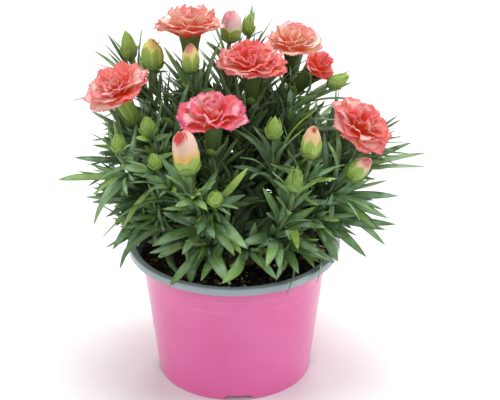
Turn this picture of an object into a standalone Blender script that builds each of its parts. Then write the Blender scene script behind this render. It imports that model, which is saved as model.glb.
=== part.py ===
"""A carnation (dianthus) in flower in its nursery pot, at real size.

Metres, +Z up. The origin is the middle of the pot's underside, on the surface that it stands on,
and -Y is the front. Each grown piece is one closed solid: a stem with the leaf pairs and side
shoots that grow out of it, a calyx, a corolla, a bud. Pieces that touch keep a gap of GAP.
"""

import itertools
import math

import bmesh
import bpy
from mathutils import Matrix, Vector
from mathutils.bvhtree import BVHTree

MM = 0.001
GAP = 0.3 * MM

# Pot: a tapered, thin-walled pot with a flared collar, an outward ledge and a short skirt
POT_HEIGHT = 80.7 * MM
RIM_RADIUS = 60.0 * MM
LEDGE_WIDTH = 4.1 * MM
SKIRT = 4.1 * MM
RIM_BEVEL = 0.6 * MM
FOOT_RADIUS = 43.2 * MM
COLLAR_RADIUS = 51.4 * MM
COLLAR_FOOT = 66.0 * MM
COLLAR_HEAD = 75.9 * MM
COLLAR_HEAD_RADIUS = 55.3 * MM
WALL = 0.9 * MM
PAD_RADIUS = 30.0 * MM
CHANNEL_HEIGHT = 3.4 * MM
CHANNEL_SLOPE = 1.3 * MM
FOOT_RING = 1.9 * MM
NOTCH_COUNT = 4
NOTCH_BEARING = math.radians(-86.4)
NOTCH_HEIGHT = 3.0 * MM
NOTCH_WIDTH = 10.6 * MM
NOTCH_CUT = 3.0 * MM
DRAIN_HOLES = 8
DRAIN_HOLE_RADIUS = 2.5 * MM
DRAIN_HOLE_SIDES = 8
POT_SIDES = 32

# Growing medium and the woody crown that all the shoots rise from
SOIL_EDGE = 72.0 * MM
SOIL_TOP = 75.0 * MM
SOIL_SHOULDER = 5.0 * MM
SOIL_CLEAR = 0.35 * MM
ROOT_DEPTH = 36.0 * MM
ROOT_RADIUS = 7.5 * MM
ROOT_CLEAR = 0.4 * MM
CROWN_RADIUS = 23.0 * MM
CROWN_HEIGHT = 9.0 * MM
CROWN_RINGS = (1.0, 0.72, 0.42)
CROWN_SIDES = 16
STEM_INSET = 2.0 * MM
# How far out on the crown a shoot starts: the least share, and its gain with the shoot's slope
START_LEAST = 0.12
START_GAIN = 0.8

# Calyxes: a flower's, in millimetres, and how an opening bud shares its length and width
FLOWER_CALYX_RADIUS = 5.2
FLOWER_CALYX_LENGTH = 18
CALYX_SHARE = 0.56
PETALS_INSET = 0.86

# Stems and leaves
STEM_WIDTH = 2.4 * MM
SIDE_STEM_WIDTH = 1.8 * MM
NODE_HEIGHT = 1.6 * MM
NODE_SWELL = 1.15
FIRST_NODE = 9.0 * MM
LAST_NODE = 3.0 * MM
FLOWERING_SPACING = 13.0 * MM
LEAFY_SPACING = 9.0 * MM
FLOWERING_TAPER = 0.62
LEAFY_TAPER = 0.36
LEAF_WIDTH = 6.4 * MM
LEAF_THICKNESS = 0.8 * MM
# From root to tip of a shoot, how a leaf's length, width and arch start, fall off and vary
LEAF_LENGTH_START = 1.06
LEAF_LENGTH_VARIES = (0.86, 1.12)
LEAF_WIDTH_TAPER = 0.36
LEAF_WIDTH_VARIES = (0.85, 1.1)
LEAF_ARCH_START = 1.2
LEAF_ARCH_TAPER = 0.6
LEAF_ARCH_VARIES = (0.8, 1.25)
GOLDEN_STEP = 0.618034
# Side shoots: the node that they prefer, their shortest reach, and how far they may turn back
SIDE_NODE_SHARE = 0.45
SIDE_SHORTEST = 12.0 * MM
SIDE_TURN_BACK = -0.2
SIDE_FACE_LEAST = 0.05
SIDE_FIRST_NODE = 0.34
SIDE_STUB = 2.4 * MM
# Probes, which test whether a stem or leaf has a free way, stand off by CLEARANCE
CLEARANCE = 0.6 * MM
PROBE_END = 1.0 * MM
PROBE_START = 0.03
PROBE_ROOT_WIDTH = 0.6
LEAF_ROOT_ANGLE = math.radians(22)
# A leaf's stations: how far along it, and how wide it is there
LEAF_STATIONS = ((0.3, 1.0), (0.68, 0.8))
SHORT_LEAF_STATIONS = ((0.42, 1.0),)
SHORT_LEAF = 36.0 * MM
# The ways that a leaf tries in turn, until one is free: shorter, swung aside, arched more or less
LEAF_SCALES = (1.0, 0.84, 0.68)
LEAF_SWINGS = (0, 14, -14, 28, -28)
LEAF_ARCHES = (0, -16, 16)
# The ways that a stem tries: started further around its bearer, bowed more or less
STEM_TURNS = (0, 10, -10, 20, -20, 32, -32, 45, -45)
STEM_BOWS = (0.36, 0.24, 0.5)

# Free space over the soil at the front, for watering: lowest and highest corner
WATERING_SPACE = (Vector((0.012, -0.042, 0.0753)), Vector((0.032, -0.033, 0.0805)))

# Half profiles (radius, height) of the turned pieces, as shares of their own radius and length
CALYX = ((0.36, 0), (0.66, 0.12), (0.84, 0.5), (1, 1))
COROLLA = ((0.27, 0), (0.7, 0.12), (0.97, 0.28), (1, 0.44), (0.84, 0.78), (0.46, 0.97))
OPENING_PETALS = ((0.84, 0), (0.94, 0.3), (0.66, 0.78))
BUD = ((0.36, 0), (0.8, 0.16), (1, 0.46), (0.7, 0.8))
COROLLA_SIDES = 15
CALYX_SIDES = 8
BUD_SIDES = 8
RUFFLES = 5
RUFFLE_DEPTH = 0.07

# Colours from the photo, as linear red, green, blue, and roughness
POT_LOOK = ((0.69, 0.14, 0.35), 0.4)
SOIL_LOOK = ((0.03, 0.02, 0.015), 0.95)
CROWN_LOOK = ((0.16, 0.13, 0.07), 0.9)
PETAL_LOOK = ((0.83, 0.16, 0.14), 0.6)
OPENING_LOOK = ((0.88, 0.45, 0.3), 0.6)
CALYX_LOOK = ((0.12, 0.22, 0.07), 0.6)
BUD_LOOK = ((0.3, 0.42, 0.14), 0.6)
LEAF_LOOK = ((0.05, 0.12, 0.06), 0.55)


class Head:
    """A flower or bud: its middle, the way that it faces, and its sizes, in millimetres."""

    def __init__(self, name, middle, facing, radius, length, calyx_radius=0.0, calyx_length=0.0):
        self.name = name
        self.middle = Vector(middle) * MM
        self.facing = Vector(facing).normalized()
        self.radius = radius * MM
        self.length = length * MM
        self.calyx_radius = calyx_radius * MM
        self.calyx_length = calyx_length * MM

    def seat(self):
        """The lowest point of the head."""
        return self.middle - self.facing * (self.length / 2 + self.calyx_length)

    def stem_end(self):
        return self.seat() - self.facing * GAP


class Tip:
    """The bare end of a leafy shoot: its bearing, its reach from the pot's axis, height and lean."""

    def __init__(self, bearing, reach, height, lean):
        turn, tilt = math.radians(bearing), math.radians(lean)
        out = Vector((math.cos(turn), math.sin(turn), 0))
        self.place = out * reach * MM + Vector((0, 0, height * MM))
        self.facing = out * math.sin(tilt) + Vector((0, 0, math.cos(tilt)))

    def stem_end(self):
        return self.place


def flower(name, middle, facing, radius, length):
    return Head(name, middle, facing, radius, length, FLOWER_CALYX_RADIUS, FLOWER_CALYX_LENGTH)


def opening(name, middle, facing, radius, length):
    """A bud whose petals already show above its calyx. The middle given is the whole bud's."""
    calyx = CALYX_SHARE * length
    middle = Vector(middle) + Vector(facing).normalized() * calyx / 2
    petals = (1 - CALYX_SHARE) * length
    return Head(name, middle, facing, PETALS_INSET * radius, petals, radius, calyx)


def closed(name, middle, facing, radius, length):
    return Head(name, middle, facing, radius, length)


class Shoot:
    """A stem from the crown: its end, its side shoots' ends, and its leaves."""

    def __init__(self, name, end, leaf, arch, sides, spacing, taper):
        self.name = name
        self.end = end
        self.leaf = leaf * MM
        self.arch = math.radians(arch)
        self.sides = sides
        self.spacing = spacing
        self.taper = taper


def flowering(name, end, leaf, arch, *sides):
    return Shoot(name, end, leaf, arch, sides, FLOWERING_SPACING, FLOWERING_TAPER)


def leafy(name, end, leaf, arch, *sides):
    return Shoot(name, end, leaf, arch, sides, LEAFY_SPACING, LEAFY_TAPER)


def by_name(*heads):
    return {head.name: head for head in heads}


FLOWERS = by_name(
    flower("left", (-63.8, -12, 181), (-0.38, -0.14, 0.92), 19.4, 17),
    flower("top", (-24, 12, 208.4), (-0.03, 0.3, 0.95), 20, 19),
    flower("middle", (10.9, -2, 192), (0.05, -0.02, 1), 19.5, 18),
    flower("front", (-10.4, -40, 177.8), (0, -0.12, 1), 19.6, 16),
    flower("back_right", (34.4, 30, 191.2), (0.1, 0.02, 1), 16, 18),
    flower("right", (71, -18, 161.4), (0.56, -0.28, 0.78), 18.4, 17),
    flower("small", (48.5, 6, 185.5), (0.6, -0.3, 0.74), 9, 16),
)
OPENING_BUDS = by_name(
    opening("top_pink", (-1.2, 26, 199.5), (0.1, 0.05, 1), 6, 18),
    opening("yellow", (-44.5, 8, 190.5), (-0.08, 0, 1), 6.2, 19),
    opening("upper", (-23, -6, 194.5), (0, -0.05, 1), 4.8, 17),
    opening("front_red", (-24.8, -62, 164.5), (-0.12, 0, 1), 7.2, 25),
    opening("peach", (42, -46, 163), (0.1, -0.02, 1), 5.6, 19),
    opening("right_low", (68.5, -32, 140.5), (0.7, -0.1, 0.7), 5.4, 17),
)
CLOSED_BUDS = by_name(
    closed("left_high", (-58, 14, 194), (-0.14, 0, 1), 4.2, 18),
    closed("top", (8.2, 30, 199.5), (0.06, 0, 1), 3.4, 13.5),
    closed("right_high", (58, 2, 177.5), (0.85, 0, 0.5), 4, 14),
    closed("centre", (22, -36, 167), (0.06, -0.02, 1), 4.4, 14),
    closed("left_mid", (-46, -30, 165), (-0.14, 0, 1), 4.6, 12.5),
    closed("left_low", (-62, -32, 156), (-0.1, -0.05, 1), 4, 11.5),
    closed("left_front", (-42, -48, 153), (-0.2, -0.1, 1), 3.6, 10.5),
    closed("front_low", (-9.5, -62, 138), (0.1, -0.5, 0.8), 4.2, 10.5),
    closed("right_front", (33, -58, 147), (0.1, -0.05, 1), 4.4, 14.5),
    closed("back", (20, 56, 172), (0.1, 0.35, 1), 4.2, 14),
)

FLOWER, OPEN, BUDDED = FLOWERS, OPENING_BUDS, CLOSED_BUDS
FLOWERING_SHOOTS = (
    flowering(
        "flower_stem_left", FLOWER["left"], 50, 75,
        BUDDED["left_low"], BUDDED["left_mid"], Tip(190, 42, 100, 80),
    ),
    flowering("flower_stem_top", FLOWER["top"], 46, 50, OPEN["upper"], Tip(120, 40, 100, 80)),
    flowering("flower_stem_middle", FLOWER["middle"], 44, 52, OPEN["top_pink"]),
    flowering("flower_stem_front", FLOWER["front"], 46, 66, BUDDED["front_low"], Tip(230, 40, 98, 80)),
    flowering("flower_stem_back_right", FLOWER["back_right"], 46, 60, BUDDED["top"], Tip(64, 42, 100, 80)),
    flowering("flower_stem_right", FLOWER["right"], 52, 75, OPEN["right_low"], Tip(350, 42, 98, 80)),
    flowering("flower_stem_small", FLOWER["small"], 46, 60, BUDDED["right_high"], Tip(14, 42, 100, 80)),
    flowering("bud_stem_left", OPEN["yellow"], 46, 56, BUDDED["left_high"], Tip(166, 42, 100, 80)),
    flowering("bud_stem_front", OPEN["front_red"], 44, 74, BUDDED["left_front"], Tip(246, 38, 98, 80)),
    flowering("bud_stem_right", OPEN["peach"], 44, 70, BUDDED["centre"], Tip(318, 42, 98, 80)),
    flowering("bud_stem_right_front", BUDDED["right_front"], 44, 74, Tip(296, 38, 98, 80)),
    flowering("bud_stem_back", BUDDED["back"], 48, 70, Tip(98, 42, 98, 80)),
)
LEAFY_SHOOTS = (
    leafy(
        "leaf_shoot_left", Tip(174, 60, 146, 54), 42, 58,
        Tip(198, 56, 114, 76), Tip(160, 58, 124, 62), Tip(184, 60, 134, 58),
        Tip(180, 54, 104, 86), Tip(190, 58, 122, 72),
    ),
    leafy(
        "leaf_shoot_right", Tip(4, 66, 134, 66), 52, 56,
        Tip(338, 53, 104, 86), Tip(20, 58, 130, 60), Tip(357, 58, 126, 66),
        Tip(349, 57, 114, 76), Tip(354, 52, 98, 88),
    ),
    leafy(
        "leaf_shoot_front_left", Tip(222, 52, 114, 72), 46, 66,
        Tip(238, 46, 100, 84), Tip(208, 52, 102, 84), Tip(226, 36, 132, 44),
    ),
    leafy(
        "leaf_shoot_front", Tip(264, 44, 108, 72), 44, 70,
        Tip(252, 46, 100, 80), Tip(280, 44, 98, 80), Tip(272, 30, 128, 44),
    ),
    leafy(
        "leaf_shoot_front_right", Tip(322, 54, 112, 72), 46, 66,
        Tip(308, 52, 102, 84), Tip(330, 40, 132, 46),
    ),
    leafy(
        "leaf_shoot_back_right", Tip(46, 58, 128, 60), 48, 60,
        Tip(60, 54, 108, 76), Tip(34, 50, 106, 78), Tip(54, 44, 146, 36),
    ),
    leafy(
        "leaf_shoot_back", Tip(92, 54, 124, 60), 48, 60,
        Tip(76, 48, 104, 76), Tip(108, 48, 106, 76), Tip(90, 38, 148, 32),
    ),
    leafy(
        "leaf_shoot_back_left", Tip(136, 58, 128, 60), 48, 60,
        Tip(122, 54, 108, 76), Tip(148, 50, 106, 78), Tip(134, 40, 150, 34),
    ),
    leafy(
        "leaf_shoot_centre", Tip(300, 14, 158, 12), 42, 46,
        Tip(350, 30, 152, 22), Tip(205, 28, 152, 22), Tip(70, 22, 166, 16), Tip(140, 24, 166, 16),
    ),
)


def new_object(name, mesh, look):
    """The mesh as an object of its own, with its own material."""
    colour, roughness = look
    material = bpy.data.materials.new(name)
    material.use_nodes = True
    shader = material.node_tree.nodes["Principled BSDF"]
    shader.inputs["Base Color"].default_value = (*colour, 1)
    shader.inputs["Roughness"].default_value = roughness
    shader.inputs["Metallic"].default_value = 0
    mesh.materials.append(material)
    made = bpy.data.objects.new(name, mesh)
    bpy.context.scene.collection.objects.link(made)
    return made


def turned_mesh(profile, sides, ruffle=0.0):
    """A solid of revolution whose profile (radius, height) starts and ends on the axis."""
    widest = max(radius for radius, _ in profile)
    shape = bmesh.new()
    rings = []
    for radius, height in profile:
        if radius == 0:
            rings.append([shape.verts.new((0, 0, height))] * sides)
            continue
        ring = []
        for k in range(sides):
            turn = math.tau * k / sides
            out = radius * (1 + ruffle * math.cos(RUFFLES * turn) * radius / widest)
            ring.append(shape.verts.new((out * math.cos(turn), out * math.sin(turn), height)))
        rings.append(ring)
    for low, high in zip(rings, rings[1:]):
        for k in range(sides):
            after = (k + 1) % sides
            corners = (low[k], low[after], high[after], high[k])
            shape.faces.new(list(dict.fromkeys(corners)))
    mesh = bpy.data.meshes.new("turned")
    shape.to_mesh(mesh)
    shape.free()
    mesh.shade_smooth()
    mesh.set_sharp_from_angle(angle=math.radians(35))
    return mesh


def pot_profile():
    """From the middle of the underside, up the outside, over the rim and down the inside."""
    taper = (COLLAR_RADIUS - FOOT_RADIUS) / COLLAR_FOOT
    ledge = RIM_RADIUS - LEDGE_WIDTH
    channel = FOOT_RADIUS - FOOT_RING
    floor = CHANNEL_HEIGHT + WALL
    return [
        (0, 0),
        (PAD_RADIUS - CHANNEL_SLOPE, 0),
        (PAD_RADIUS, CHANNEL_HEIGHT),
        (channel - CHANNEL_SLOPE, CHANNEL_HEIGHT),
        (channel, 0),
        (FOOT_RADIUS, 0),
        (COLLAR_RADIUS, COLLAR_FOOT),
        (COLLAR_HEAD_RADIUS, COLLAR_HEAD),
        (ledge + WALL, POT_HEIGHT - WALL),
        (RIM_RADIUS - WALL, POT_HEIGHT - WALL),
        (RIM_RADIUS - WALL, POT_HEIGHT - SKIRT),
        (RIM_RADIUS, POT_HEIGHT - SKIRT),
        (RIM_RADIUS, POT_HEIGHT - RIM_BEVEL),
        (RIM_RADIUS - RIM_BEVEL, POT_HEIGHT),
        (ledge, POT_HEIGHT),
        (COLLAR_HEAD_RADIUS - WALL, COLLAR_HEAD),
        (COLLAR_RADIUS - WALL, COLLAR_FOOT),
        (FOOT_RADIUS + taper * floor - WALL, floor),
        (PAD_RADIUS, floor),
        (PAD_RADIUS - CHANNEL_SLOPE - WALL, WALL),
        (0, WALL),
    ]


def add_prism(shape, near, far):
    """A closed prism between two outlines of the same number of corners."""
    inner = [shape.verts.new(corner) for corner in near]
    outer = [shape.verts.new(corner) for corner in far]
    shape.faces.new(inner[::-1])
    shape.faces.new(outer)
    for i in range(len(near)):
        j = (i + 1) % len(near)
        shape.faces.new((inner[i], inner[j], outer[j], outer[i]))


def drain_cutter():
    """The notches through the foot ring and the holes in the channel's roof, as one hidden cutter."""
    shape = bmesh.new()
    half, below = NOTCH_WIDTH / 2, -1 * MM
    flare = half + NOTCH_HEIGHT - below
    outline = ((-flare, below), (flare, below), (half, NOTCH_HEIGHT), (-half, NOTCH_HEIGHT))
    middle = FOOT_RADIUS - FOOT_RING / 2
    for k in range(NOTCH_COUNT):
        spin = Matrix.Rotation(NOTCH_BEARING + math.tau * k / NOTCH_COUNT, 4, "Z")
        near = [spin @ Vector((middle - NOTCH_CUT, y, z)) for y, z in outline]
        far = [spin @ Vector((middle + NOTCH_CUT, y, z)) for y, z in outline]
        add_prism(shape, near, far)
    channel = (PAD_RADIUS + FOOT_RADIUS - FOOT_RING) / 2
    for k in range(DRAIN_HOLES):
        bearing = NOTCH_BEARING + math.tau * (k + 0.5) / DRAIN_HOLES
        place = (channel * math.cos(bearing), channel * math.sin(bearing), CHANNEL_HEIGHT)
        bmesh.ops.create_cone(
            shape,
            cap_ends=True,
            segments=DRAIN_HOLE_SIDES,
            radius1=DRAIN_HOLE_RADIUS,
            radius2=DRAIN_HOLE_RADIUS,
            depth=4 * WALL,
            matrix=Matrix.Translation(place),
        )
    bmesh.ops.recalc_face_normals(shape, faces=shape.faces)
    mesh = bpy.data.meshes.new("drain_cutter")
    shape.to_mesh(mesh)
    shape.free()
    cutter = new_object("drain_cutter", mesh, POT_LOOK)
    cutter.hide_render = True
    cutter.display_type = "WIRE"
    return cutter


def make_pot():
    pot = new_object("pot", turned_mesh(pot_profile(), POT_SIDES), POT_LOOK)
    cut = pot.modifiers.new("drains", "BOOLEAN")
    cut.operation = "DIFFERENCE"
    cut.solver = "EXACT"
    cut.object = drain_cutter()
    return pot


def make_soil():
    """Fills the pot to under the ledge, with a socket for the root."""
    taper = (COLLAR_RADIUS - FOOT_RADIUS) / COLLAR_FOOT
    flare = (COLLAR_HEAD_RADIUS - COLLAR_RADIUS) / (COLLAR_HEAD - COLLAR_FOOT)
    floor = CHANNEL_HEIGHT + WALL + GAP
    clear = WALL + SOIL_CLEAR
    edge = COLLAR_RADIUS + flare * (SOIL_EDGE - COLLAR_FOOT) - clear
    profile = [
        (0, WALL + GAP),
        (PAD_RADIUS - CHANNEL_SLOPE - clear - SOIL_CLEAR, WALL + GAP),
        (PAD_RADIUS - SOIL_CLEAR, floor),
        (FOOT_RADIUS + taper * floor - clear, floor),
        (COLLAR_RADIUS - clear, COLLAR_FOOT),
        (edge, SOIL_EDGE),
        (edge - SOIL_SHOULDER, SOIL_TOP),
        (ROOT_RADIUS + ROOT_CLEAR, SOIL_TOP),
        (ROOT_RADIUS / 2, SOIL_TOP - ROOT_DEPTH),
        (0, SOIL_TOP - ROOT_DEPTH),
    ]
    return new_object("potting_soil", turned_mesh(profile, POT_SIDES), SOIL_LOOK)


def crown_sphere():
    """Radius and middle height of the ball whose cap is the crown."""
    radius = (CROWN_RADIUS**2 + CROWN_HEIGHT**2) / (2 * CROWN_HEIGHT)
    return radius, SOIL_TOP + GAP + CROWN_HEIGHT - radius


def make_crown():
    """The woody base: a low cap on the soil with the taproot below it."""
    radius, middle = crown_sphere()
    rest = SOIL_TOP + GAP
    root_end = SOIL_TOP - ROOT_DEPTH + ROOT_CLEAR
    cap = []
    for share in CROWN_RINGS:
        out = CROWN_RADIUS * share
        cap.append((out, middle + math.sqrt(radius**2 - out**2)))
    profile = [
        (0, root_end),
        (ROOT_RADIUS / 2 - ROOT_CLEAR, root_end),
        (ROOT_RADIUS, rest),
        *cap,
        (0, middle + radius),
    ]
    return new_object("root_crown", turned_mesh(profile, CROWN_SIDES), CROWN_LOOK)


def crown_point(end, turn):
    """Where on the crown a shoot that ends there starts, and the way that it sets off."""
    radius, middle = crown_sphere()
    flat = Matrix.Rotation(math.radians(turn), 3, "Z") @ Vector((end.x, end.y, 0))
    steepness = flat.length / (end.z - SOIL_TOP)
    out = (CROWN_RADIUS - STEM_INSET) * min(1, START_LEAST + START_GAIN * steepness)
    way = flat.normalized() * out
    normal = Vector((way.x, way.y, math.sqrt(radius**2 - out**2))).normalized()
    return Vector((0, 0, middle)) + normal * (radius + GAP), normal


class Path:
    """A smooth stem line: a cubic Bezier with frames carried along it without twist."""

    STEPS = 48

    def __init__(self, start, way, end, facing, across, bow):
        reach = (end - start).length
        self.handles = (start, start + way * reach * bow, end - facing * reach * bow, end)
        points = [self.at(k / self.STEPS) for k in range(self.STEPS + 1)]
        self.lengths = [0.0]
        for a, b in zip(points, points[1:]):
            self.lengths.append(self.lengths[-1] + (b - a).length)
        self.length = self.lengths[-1]
        tangent = way.normalized()
        across = (across - tangent * across.dot(tangent)).normalized()
        self.frames = []
        for k in range(self.STEPS + 1):
            after = self.slope(k / self.STEPS)
            across = tangent.rotation_difference(after) @ across
            across = (across - after * across.dot(after)).normalized()
            tangent = after
            self.frames.append((points[k], tangent, across))

    def at(self, t):
        a, b, c, d = self.handles
        s = 1 - t
        return a * s**3 + b * 3 * s * s * t + c * 3 * s * t * t + d * t**3

    def slope(self, t):
        a, b, c, d = self.handles
        s = 1 - t
        return ((b - a) * s * s + (c - b) * 2 * s * t + (d - c) * t * t).normalized()

    def frame(self, distance):
        """Point, tangent and across at that distance along the line."""
        k = 0
        while k < self.STEPS - 1 and self.lengths[k + 1] < distance:
            k += 1
        mix = (distance - self.lengths[k]) / (self.lengths[k + 1] - self.lengths[k])
        low, high = self.frames[k], self.frames[k + 1]
        return tuple(low[i].lerp(high[i], mix) for i in range(3))


class Leaf:
    """A blade in the plane of its stem's axis and its own side, arching evenly from root to tip."""

    def __init__(self, root, axis, side, length, width, tip_angle):
        self.root = root
        self.axis = axis
        self.side = side
        self.length = length
        self.width = width
        self.bend = tip_angle - LEAF_ROOT_ANGLE
        self.across = axis.cross(side).normalized()
        self.stations = LEAF_STATIONS if length > SHORT_LEAF else SHORT_LEAF_STATIONS

    def at(self, share):
        start, bend = LEAF_ROOT_ANGLE, self.bend
        along = (math.sin(start + bend * share) - math.sin(start)) / bend
        out = (math.cos(start) - math.cos(start + bend * share)) / bend
        return self.root + (self.axis * along + self.side * out) * self.length

    def up(self, share):
        """The way that the blade's upper face looks."""
        angle = LEAF_ROOT_ANGLE + self.bend * share
        return self.axis * math.sin(angle) - self.side * math.cos(angle)

    def ways(self):
        """The leaf as meant, then swung, arched or shortened."""
        for scale in LEAF_SCALES:
            for swing in LEAF_SWINGS:
                for arch in LEAF_ARCHES:
                    side = Matrix.Rotation(math.radians(swing), 3, self.axis) @ self.side
                    tip_angle = LEAF_ROOT_ANGLE + self.bend + math.radians(arch)
                    yield Leaf(self.root, self.axis, side, self.length * scale, self.width, tip_angle)


class Growth:
    """Points and faces of one grown piece, in which everything grows out of a face of its bearer."""

    def __init__(self):
        self.points = []
        self.faces = []

    def ring(self, middle, across, up, width, depth):
        """Four corners, in the order that they show from the end that the piece grows towards."""
        first = len(self.points)
        for i, j in ((-1, -1), (1, -1), (1, 1), (-1, 1)):
            self.points.append(middle + across * (i * width / 2) + up * (j * depth / 2))
        return [first, first + 1, first + 2, first + 3]

    def walls(self, low, high, leave_out=()):
        for k in range(4):
            if k not in leave_out:
                after = (k + 1) % 4
                self.faces.append((low[k], low[after], high[after], high[k]))

    def blade(self, root, leaf, margin=0.0):
        """A leaf on the four corners of its root."""
        ring = root
        for share, wide in leaf.stations:
            size = (leaf.width * wide + margin, LEAF_THICKNESS + margin)
            after = self.ring(leaf.at(share), leaf.across, leaf.up(share), *size)
            self.walls(ring, after)
            ring = after
        tip = len(self.points)
        self.points.append(leaf.at(1 + margin / leaf.length))
        for k in range(4):
            self.faces.append((ring[k], ring[(k + 1) % 4], tip))

    def stem(self, line, root):
        """A line with its leaves and its side lines, on the four corners of its root."""
        ring = root
        if line.stub:
            ring = self.ring(*line.section(line.stub))
            self.walls(root, ring)
        for node in line.nodes:
            low = self.ring(*line.section(node.distance - NODE_HEIGHT / 2, NODE_SWELL))
            high = self.ring(*line.section(node.distance + NODE_HEIGHT / 2, NODE_SWELL))
            self.walls(ring, low)
            self.walls(low, high, leave_out=node.grown)
            for k, grown in node.grown.items():
                after = (k + 1) % 4
                corners = [low[k], low[after], high[after], high[k]]
                if isinstance(grown, Leaf):
                    self.blade(corners, grown)
                else:
                    self.stem(grown, corners)
            ring = high
        last = self.ring(*line.section(line.path.length))
        self.walls(ring, last)
        self.faces.append(tuple(last))


class Obstacle:
    """Something that the next stem or leaf has to clear."""

    def __init__(self, growth):
        self.tree = BVHTree.FromPolygons(growth.points, growth.faces)
        self.low = Vector(map(min, *growth.points))
        self.high = Vector(map(max, *growth.points))

    def touches(self, other):
        for i in range(3):
            if self.low[i] > other.high[i] or self.high[i] < other.low[i]:
                return False
        return bool(self.tree.overlap(other.tree))


class Thicket:
    """All that stands so far."""

    def __init__(self):
        self.standing = []

    def add(self, obstacle):
        self.standing.append(obstacle)

    def add_object(self, made):
        growth = Growth()
        growth.points = [made.matrix_world @ v.co for v in made.data.vertices]
        growth.faces = [tuple(p.vertices) for p in made.data.polygons]
        self.add(Obstacle(growth))

    def add_box(self, low, high):
        growth = Growth()
        corners = itertools.product((low.x, high.x), (low.y, high.y), (low.z, high.z))
        growth.points = [Vector(corner) for corner in corners]
        growth.faces = [(0, 1, 3, 2), (4, 6, 7, 5), (0, 4, 5, 1), (2, 3, 7, 6), (0, 2, 6, 4), (1, 5, 7, 3)]
        self.add(Obstacle(growth))

    def free(self, obstacle, own=None):
        return not any(o is not own and obstacle.touches(o) for o in self.standing)


def probe_of_leaf(leaf):
    """The leaf a little larger, from just off its stem."""
    probe = Growth()
    size = (leaf.width * PROBE_ROOT_WIDTH, LEAF_THICKNESS + CLEARANCE)
    root = probe.ring(leaf.at(PROBE_START), leaf.across, leaf.up(PROBE_START), *size)
    probe.blade(root, leaf, CLEARANCE)
    return Obstacle(probe)


def probe_of_line(line):
    """The bare line a little larger, without its two ends."""
    probe = Growth()
    swell = NODE_SWELL + CLEARANCE / line.width
    distances = [PROBE_END]
    for node in line.nodes:
        distances += [node.distance - NODE_HEIGHT / 2, node.distance + NODE_HEIGHT / 2]
    distances.append(line.path.length - PROBE_END)
    rings = [probe.ring(*line.section(distance, swell)) for distance in distances]
    for ring, after in zip(rings, rings[1:]):
        probe.walls(ring, after)
    return Obstacle(probe)


def vary(count, low, high):
    """A value between low and high that jumps about as count goes up, the same on every run."""
    return low + (high - low) * (count * GOLDEN_STEP % 1.0)


class Node:
    """A joint of a stem: how far along it is, and what grows from its faces."""

    def __init__(self, distance, share, faces):
        self.distance = distance
        self.share = share
        self.faces = faces
        self.grown = {}


class Line:
    """One stem or side stem: its path, its width and its nodes, each turned a quarter from the last."""

    def __init__(self, path, width, spacing, first, stub=0.0):
        self.path = path
        self.width = width
        self.stub = stub
        last = path.length - LAST_NODE
        count = max(1, round((last - first) / spacing))
        self.nodes = []
        for n in range(count + 1):
            share = n / count
            faces = (0, 2) if n % 2 else (1, 3)
            self.nodes.append(Node(first + (last - first) * share, share, faces))
        self.probe = probe_of_line(self)

    def side_of(self, distance, k):
        """The outward side of face k there."""
        _, tangent, across = self.path.frame(distance)
        up = tangent.cross(across)
        return (-up, across, up, -across)[k]

    def section(self, distance, swell=1.0):
        point, tangent, across = self.path.frame(distance)
        wide = self.width * swell
        return point, across, tangent.cross(across), wide, wide


def leaf_at(line, node, k, shoot, count):
    """The leaf that this face would bear: long and arched low down, short and upright higher up."""
    point, tangent, _ = line.path.frame(node.distance)
    side = line.side_of(node.distance, k)
    root = point + side * line.width / 2
    length = shoot.leaf * (LEAF_LENGTH_START - shoot.taper * node.share)
    width = LEAF_WIDTH * (1 - LEAF_WIDTH_TAPER * node.share)
    tip_angle = shoot.arch * (LEAF_ARCH_START - LEAF_ARCH_TAPER * node.share)
    length *= vary(count, *LEAF_LENGTH_VARIES)
    width *= vary(count + 3, *LEAF_WIDTH_VARIES)
    tip_angle *= vary(count + 5, *LEAF_ARCH_VARIES)
    return Leaf(root, tangent, side, length, width, tip_angle)


def main_line(shoot, thicket):
    """A shoot's line, from the crown to its head or its bare tip, by the first free way."""
    end = shoot.end.stem_end()
    for bow in STEM_BOWS:
        for turn in STEM_TURNS:
            start, way = crown_point(end, turn)
            across = Vector((0, 0, 1)).cross(Vector((end.x, end.y, 0)))
            eighth = Matrix.Rotation(math.radians(45), 3, way)
            path = Path(start, way, end, shoot.end.facing, eighth @ across, bow)
            line = Line(path, STEM_WIDTH, shoot.spacing, FIRST_NODE)
            if thicket.free(line.probe):
                return line
    raise ValueError(f"no free way for {shoot.name}")


def side_line(parent, end, spacing, thicket):
    """A side shoot's line, from the face of a node of its parent that looks most towards its end."""
    target = end.stem_end()
    for bow in STEM_BOWS:
        for node in sorted(parent.nodes, key=lambda n: abs(n.share - SIDE_NODE_SHARE)):
            point, tangent, _ = parent.path.frame(node.distance)
            way = (target - point).normalized()
            if way.dot(tangent) < SIDE_TURN_BACK or (target - point).length < SIDE_SHORTEST:
                continue
            for k in node.faces:
                side = parent.side_of(node.distance, k)
                if side.dot(way) < SIDE_FACE_LEAST or k in node.grown:
                    continue
                root = point + side * parent.width / 2
                outward = (tangent + side).normalized()
                path = Path(root, outward, target, end.facing, tangent.cross(side), bow)
                first = SIDE_FIRST_NODE * path.length
                line = Line(path, SIDE_STEM_WIDTH, spacing, first, SIDE_STUB)
                if thicket.free(line.probe, parent.probe):
                    node.grown[k] = line
                    return line
    raise ValueError(f"no free way for a side shoot to {tuple(target)}")


def plan_lines(shoot, thicket):
    """The shoot's lines, without leaves yet."""
    line = main_line(shoot, thicket)
    thicket.add(line.probe)
    lines = [line]
    for end in shoot.sides:
        lines.append(side_line(line, end, shoot.spacing, thicket))
        thicket.add(lines[-1].probe)
    return lines


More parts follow.
